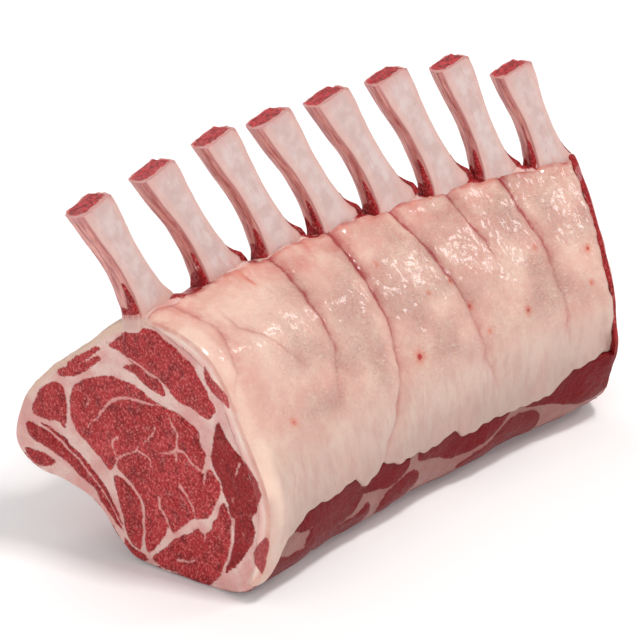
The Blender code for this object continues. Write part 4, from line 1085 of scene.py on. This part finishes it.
def boneTree():
    tree = bpy.data.node_groups.new("ribBone", "GeometryNodeTree")
    tree.is_modifier = True
    for name, kind, usual in (
            ("Rise", "Float", 40.0), ("Root", "Float", 24.0), ("Foot", "Float", 3.5), ("Size", "Float", 1.0),
            ("Side Lean", "Float", -0.3), ("Back Lean", "Float", 0.3), ("Bow", "Float", 0.0032),
            ("Heading", "Float", 0.0), ("Exit", "Vector", (0.0, 0.0, 0.0)), ("Seed", "Float", 0.0),
            ("Finish", "Material", None)):
        socket = tree.interface.new_socket(name, in_out="INPUT", socket_type="NodeSocket" + kind)
        if usual is not None:
            socket.default_value = usual
    tree.interface.new_socket("Geometry", in_out="OUTPUT", socket_type="NodeSocketGeometry")

    given = addNode(tree, "NodeGroupInput").outputs
    shape = addNode(tree, "GeometryNodeMeshCylinder", {
        "Vertices": boneSizes["sides"], "Side Segments": boneSizes["segments"], "Fill Segments": 9,
        "Radius": 1.0, "Depth": 1.0}, "Mesh", fill_type="TRIANGLE_FAN")
    at = addNode(tree, "GeometryNodeInputPosition", None, 0)
    start = addNode(tree, "ShaderNodeSeparateXYZ", {0: at}).outputs
    rootDown = addNode(tree, "ShaderNodeMath", {0: given["Root"], 1: -1.0}, 0, operation="MULTIPLY")
    rise = addNode(tree, "ShaderNodeMapRange", {
        0: start[2], 1: -0.5, 2: 0.5, 3: rootDown, 4: given["Rise"]}, 0)

    # one Math node for each line: its name, what it does and what goes in, by name or as a value
    value = {name: given[name] for name in ("Rise", "Foot", "Side Lean", "Back Lean", "Bow", "Seed")}
    value.update({"x": start[0], "y": start[1], "rise": rise})
    for name, operation, *feeds in (
            ("xSquare", "MULTIPLY", "x", "x"),
            ("ySquare", "MULTIPLY", "y", "y"),
            ("squares", "ADD", "xSquare", "ySquare"),
            ("radius", "SQRT", "squares"),
            ("safe", "MAXIMUM", "radius", 0.0001),
            # the section is a rounded bar: a circle squared off by a power
            ("xShare", "DIVIDE", "x", "safe"),
            ("xSize", "ABSOLUTE", "xShare"),
            ("xPower", "POWER", "xSize", boneSizes["square"]),
            ("xSign", "SIGN", "x"),
            ("xWay", "MULTIPLY", "xSign", "xPower"),
            ("across", "MULTIPLY", "xWay", "radius"),
            ("yShare", "DIVIDE", "y", "safe"),
            ("ySize", "ABSOLUTE", "yShare"),
            ("yPower", "POWER", "ySize", boneSizes["square"]),
            ("ySign", "SIGN", "y"),
            ("yWay", "MULTIPLY", "ySign", "yPower"),
            ("front", "MULTIPLY", "yWay", "radius"),
            ("riseShare", "DIVIDE", "rise", "Rise"),
            ("below", "ADD", "rise", "Foot"),
            # its middle line leans to the side and back, with a bow
            ("fullBow", "MULTIPLY", "Bow", "Rise"),
            ("slope", "SUBTRACT", "Back Lean", "fullBow"),
            ("bowed", "MULTIPLY", "Bow", "rise"),
            ("backShare", "ADD", "slope", "bowed"),
            ("back", "MULTIPLY", "rise", "backShare"),
            ("twiceBowed", "MULTIPLY", 2.0, "bowed"),
            ("backSlope", "ADD", "slope", "twiceBowed"),
            ("sway", "MULTIPLY", "Side Lean", "riseShare"),
            ("steady", "MULTIPLY", "Side Lean", 1.0 - boneSizes["sway"]),
            ("sideShare", "MULTIPLY_ADD", "sway", boneSizes["sway"], "steady"),
            ("sideways", "MULTIPLY", "rise", "sideShare"),
            ("sideSlope", "MULTIPLY_ADD", "sway", 2.0 * boneSizes["sway"], "steady"),
            ("seedShift", "MULTIPLY", "Seed", 31.0),
            ("toTip", "SUBTRACT", "Rise", "rise"),
            ("onTip", "COMPARE", "rise", "Rise", 0.01),
            ("rim", "SUBTRACT", 1.0, "radius"),
            ("rimIn", "MULTIPLY", "rim", 4.0)):
        feeds = {i: value.get(feed, feed) for i, feed in enumerate(feeds)}
        value[name] = addNode(tree, "ShaderNodeMath", feeds, 0, operation=operation)
    across, front = value["across"], value["front"]
    up = addNode(tree, "ShaderNodeClamp", {0: value["riseShare"]}, 0)
    neck, deepRoot = (
        addNode(tree, "ShaderNodeMapRange", {0: value["below"], 1: low, 2: high, 3: least, 4: 1.0}, 0)
        for low, high, least in ((-6.5, 0.0, 0.74), (-20.0, -6.5, 0.84)))
    scale = addNode(tree, "ShaderNodeMath", {0: neck, 1: deepRoot}, 0, operation="MULTIPLY")
    scale = addNode(tree, "ShaderNodeMath", {0: given["Size"], 1: scale}, 0, operation="MULTIPLY")
    middle = addNode(tree, "ShaderNodeCombineXYZ", {0: value["sideways"], 1: value["back"], 2: rise}, 0)
    along = addNode(tree, "ShaderNodeCombineXYZ", {0: value["sideSlope"], 1: value["backSlope"], 2: 1.0}, 0)
    along = addNode(tree, "ShaderNodeVectorMath", {0: along}, 0, operation="NORMALIZE")
    frontWay = addNode(tree, "ShaderNodeVectorMath", {0: (1.0, 0.0, 0.0), 1: along}, 0,
                       operation="CROSS_PRODUCT")
    frontWay = addNode(tree, "ShaderNodeVectorMath", {0: frontWay}, 0, operation="NORMALIZE")
    wideWay = addNode(tree, "ShaderNodeVectorMath", {0: along, 1: frontWay}, 0, operation="CROSS_PRODUCT")
    spread = []
    for table, half, share, way in ((boneSizes["widths"], 10.0, across, wideWay),
                                    (boneSizes["depths"], 5.0, front, frontWay)):
        curve = addNode(tree, "ShaderNodeFloatCurve", {"Value": up})
        points = curve.mapping.curves[0].points
        while len(points) < len(table):
            points.new(0.5, 0.5)
        for point, (x, y) in zip(points, table):
            point.location = (x, y)
        curve.mapping.update()
        reach = curve.outputs[0]
        for factor in (half, scale):
            reach = addNode(tree, "ShaderNodeMath", {0: reach, 1: factor}, 0, operation="MULTIPLY")
        reach = addNode(tree, "ShaderNodeMath", {0: share, 1: reach}, 0, operation="MULTIPLY")
        spread.append(addNode(tree, "ShaderNodeVectorMath", {0: way, "Scale": reach}, 0, operation="SCALE"))
    offset = addNode(tree, "ShaderNodeVectorMath", {0: spread[0], 1: spread[1]}, 0, operation="ADD")

    # uneven, as a scraped bone is
    where = addNode(tree, "ShaderNodeVectorMath", {0: middle, 1: offset}, 0, operation="ADD")
    apart = addNode(tree, "ShaderNodeCombineXYZ", {0: value["seedShift"], 1: 0.0, 2: 0.0}, 0)
    where = addNode(tree, "ShaderNodeVectorMath", {0: where, 1: apart}, 0, operation="ADD")
    uneven = addNode(tree, "ShaderNodeTexNoise", {"Vector": where, "Scale": 0.11, "Detail": 2.5}, 0)
    swell = addNode(tree, "ShaderNodeMath", {0: uneven, 1: 0.08, 2: 0.96}, 0, operation="MULTIPLY_ADD")
    offset = addNode(tree, "ShaderNodeVectorMath", {0: offset, "Scale": swell}, 0, operation="SCALE")

    # the tip is sawn nearly level, pitted, and the saw left a small step at its far side
    offsetCut, alongCut = (
        addNode(tree, "ShaderNodeVectorMath", {0: way, 1: boneSizes["tipCut"]}, 1, operation="DOT_PRODUCT")
        for way in (offset, along))
    nearTip = addNode(tree, "ShaderNodeMapRange", {0: value["toTip"], 1: 13.0, 2: 0.0}, 0,
                      interpolation_type="SMOOTHSTEP")
    stepIn = addNode(tree, "ShaderNodeMapRange", {0: across, 1: 0.66, 2: 0.76}, 0,
                     interpolation_type="SMOOTHSTEP")
    rough = addNode(tree, "ShaderNodeTexNoise", {"Vector": where, "Scale": 0.7, "Detail": 3.0}, 0)
    value.update({"offsetCut": offsetCut, "alongCut": alongCut, "nearTip": nearTip, "stepIn": stepIn,
                  "rough": rough})
    for name, operation, *feeds in (
            ("downCut", "MULTIPLY", "offsetCut", -1.0),
            ("slide", "DIVIDE", "downCut", "alongCut"),
            ("sawn", "MULTIPLY", "slide", "nearTip"),
            ("pits", "MULTIPLY_ADD", "rough", 1.6, -0.9),
            ("pitted", "MULTIPLY", "onTip", "pits"),
            ("stepDown", "MULTIPLY", "stepIn", -1.1),
            ("tipPower", "POWER", "nearTip", 3.0),
            ("step", "MULTIPLY", "stepDown", "tipPower")):
        feeds = {i: value.get(feed, feed) for i, feed in enumerate(feeds)}
        value[name] = addNode(tree, "ShaderNodeMath", feeds, 0, operation=operation)
    sawn, step, pitted = (
        addNode(tree, "ShaderNodeVectorMath", {0: along, "Scale": value[name]}, 0, operation="SCALE")
        for name in ("sawn", "step", "pitted"))
    moved = sawn
    for more in (step, pitted):
        moved = addNode(tree, "ShaderNodeVectorMath", {0: moved, 1: more}, 0, operation="ADD")
    onLine = addNode(tree, "ShaderNodeVectorMath", {0: middle, 1: offset}, 0, operation="ADD")
    final = addNode(tree, "ShaderNodeVectorMath", {0: onLine, 1: moved}, 0, operation="ADD")

    for name, number in (("across", across), ("front", front), ("rise", rise), ("upShare", up),
                         ("seed", given["Seed"]), ("cutTip", value["onTip"]), ("rimIn", value["rimIn"])):
        shape = addNode(tree, "GeometryNodeStoreNamedAttribute", {
            "Geometry": shape, "Name": name, "Value": number}, 0, data_type="FLOAT", domain="POINT")
    shape = addNode(tree, "GeometryNodeSetPosition", {"Geometry": shape, "Position": final}, 0)
    turned = addNode(tree, "ShaderNodeCombineXYZ", {0: 0.0, 1: 0.0, 2: given["Heading"]}, 0)
    shape = addNode(tree, "GeometryNodeTransform", {
        "Geometry": shape, "Translation": given["Exit"], "Rotation": turned, "Scale": (mm, mm, mm)}, 0)
    shape = addNode(tree, "GeometryNodeRealizeInstances", {"Geometry": shape}, 0)
    shape = addNode(tree, "GeometryNodeSetMaterial", {"Geometry": shape, "Material": given["Finish"]}, 0)
    tree.links.new(shape, addNode(tree, "NodeGroupOutput").inputs[0])
    return tree


def footOf(index):
    # the first bone stands too near the cut end to keep its width further down
    return 0.5 if index == 0 else boneSizes["foot"]


def makeBone(tree, index):
    rise, size, side, lean = bones[index][2:]
    t, exitAt = exitOf(index)
    name = "bone%d" % (index + 1)
    holder = bpy.data.objects.new(name + "Maker", bpy.data.meshes.new(name + "Maker"))
    bpy.context.scene.collection.objects.link(holder)
    maker = holder.modifiers.new("bone", "NODES")
    maker.node_group = tree
    inputs = {
        "Rise": rise, "Root": boneSizes["root"], "Foot": footOf(index), "Size": size, "Side Lean": side,
        "Back Lean": lean, "Bow": boneSizes["bow"], "Heading": rack["turn"] * (0.5 - t),
        "Exit": tuple(exitAt * mm), "Seed": float(index + 1), "Finish": boneFinish}
    for socket in tree.interface.items_tree:
        if socket.in_out == "INPUT":
            maker[socket.identifier] = inputs[socket.name]
    holder.update_tag()
    bpy.context.view_layer.update()
    mesh = bpy.data.meshes.new_from_object(holder.evaluated_get(bpy.context.evaluated_depsgraph_get()))
    holder.modifiers.remove(maker)
    bpy.data.objects.remove(holder, do_unlink=True)
    mesh.name = name
    mesh.shade_smooth()
    mesh.set_sharp_from_angle(angle=math.radians(52.0))
    piece = bpy.data.objects.new(name, mesh)
    bpy.context.scene.collection.objects.link(piece)
    return piece


# shreds of meat left round the foot of each bone

shredSizes = {
    "points": 84, "levels": 44, "from": -4.0, "to": 17.0,
    "wedge": 16.5,         # height of the dark wedge on the side that faces the near end
    "fringe": 11.0,        # of the thin fringe on the far side
    "behind": 8.0,
    "skirt": 9.5,          # over the whole of the near side
    "fillet": 1.9,         # how far the fringe spreads at its foot
    "thick": 0.6,
    "under": 0.7,          # below its raggedness it sinks this far into the bone
}


def makeShreds(index):
    size = shredSizes
    rise, boneSize, side, lean = bones[index][2:]
    t, exitAt = exitOf(index)
    ahead = heading(t)
    behind = np.array([-ahead[1], ahead[0], 0.0])
    angle = np.linspace(0, 2 * math.pi, size["points"], endpoint=False)
    c, s = np.cos(angle), np.sin(angle)
    power, bow, sway, under = boneSizes["square"], boneSizes["bow"], boneSizes["sway"], size["under"]
    across, front = np.sign(c) * np.abs(c) ** power, np.sign(s) * np.abs(s) ** power
    onLeft, onRight = smooth((-across - 0.80) / 0.15), smooth((across - 0.80) / 0.15)
    rings, values = [], []
    for level in np.linspace(0.0 if index == 0 else size["from"], size["to"], size["levels"]):
        slope = lean - bow * rise
        middle = exitAt + ahead * side * level * (1 - sway + sway * level / rise)
        middle = middle + behind * (slope * level + bow * level ** 2) + np.array([0, 0, level])
        along = ahead * side * (1 - sway + 2 * sway * level / rise)
        along = along + behind * (slope + 2 * bow * level) + np.array([0, 0, 1.0])
        along = along / np.linalg.norm(along)
        frontWay = np.cross(ahead, along)
        frontWay = frontWay / np.linalg.norm(frontWay)
        wideWay = np.cross(along, frontWay)
        up = min(max(level / rise, 0.0), 1.0)
        wide = boneSize * 10.0 * np.interp(up, *zip(*boneSizes["widths"]))
        deep = boneSize * 5.0 * np.interp(up, *zip(*boneSizes["depths"]))
        root = np.interp(level + footOf(index), (-6.5, 0.0), (0.74, 1.0))
        wide, deep = wide * root, deep * root
        ragged = np.stack([across * wide, front * deep, np.full(len(c), level * 0.4)], -1)
        ragged = lumps(ragged, 1.8, 50 + index)
        wedge = np.maximum(size["wedge"] * bump((front - 0.5) / 0.6),
                           size["skirt"] * smooth((front + 0.9) / 0.5))
        top = (onLeft * wedge + onRight * size["fringe"]
               + size["behind"] * np.clip(-s, 0, 1) ** 2 * (1 - onRight)) + 2.4 * ragged
        thick = -under + (size["thick"] + under) * smooth((top - level) / 6.0)
        if index == 0:      # pale fat lies between its foot and the cut face
            thick = -under + (thick + under) * smooth((level - 2.5) / 3.0)
        thick = np.minimum(thick, np.where(across > 0.5, 0.55, 9.0))
        if 0 < index < len(bones) - 1:
            thick = thick + size["fillet"] * (across > 0.3) * smooth((5.5 - level) / 9.5)
        thick = np.where((across > 0) & (front > 0.45), -under, thick)
        rings.append(middle + (across * (wide + thick))[:, None] * wideWay
                     + (front * (deep + thick))[:, None] * frontWay)
        values.append(1.2 + 1.5 * ragged)
    n, m = len(rings), size["points"]
    points = np.concatenate(rings + [rings[0].mean(axis=0)[None], rings[-1].mean(axis=0)[None]])
    faces = gridFaces(n, m)
    faces += [(n * m, (i + 1) % m, i) for i in range(m)]
    faces += [(n * m + 1, (n - 1) * m + i, (n - 1) * m + (i + 1) % m) for i in range(m)]
    edge = np.concatenate(values + [[1.0, 1.0]])
    flat = np.zeros(len(edge))
    values = {"leanEdge": edge, "tone": flat + 0.5, "skin": flat, "veinEdge": flat + outside, "shade": flat,
              "pale": flat}
    return makePiece("boneShreds%d" % (index + 1), points, faces, values, leanFinish)


leanBody = makeLeanBody()
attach(leanBody, "root")
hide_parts("meat")
fatCap = makeCap()
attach(fatCap, "root")
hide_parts("fat_cap")
tree = boneTree()
for index in range(len(bones)):
    piece = makeBone(tree, index)
    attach(piece, "root")
    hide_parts("rib_%d" % (index + 1))
    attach(makeShreds(index), "root")
print("stage: bones made")

# floor

floorMesh = bpy.data.meshes.new("floor")
floorMesh.from_pydata([(-4, -4, 0), (4, -4, 0), (4, 4, 0), (-4, 4, 0)], [], [(0, 1, 2, 3)])
floor = bpy.data.objects.new("floor", floorMesh)
floor.location = (0, 0, -0.0004)
bpy.context.scene.collection.objects.link(floor)
floorMesh.materials.append(newMaterial("paleFloor", {
    "Roughness": 0.9, "Base Color": linear("#fdfdfd"), "Emission Color": (1.0, 1.0, 1.0, 1.0),
    "Emission Strength": 0.10})[0])
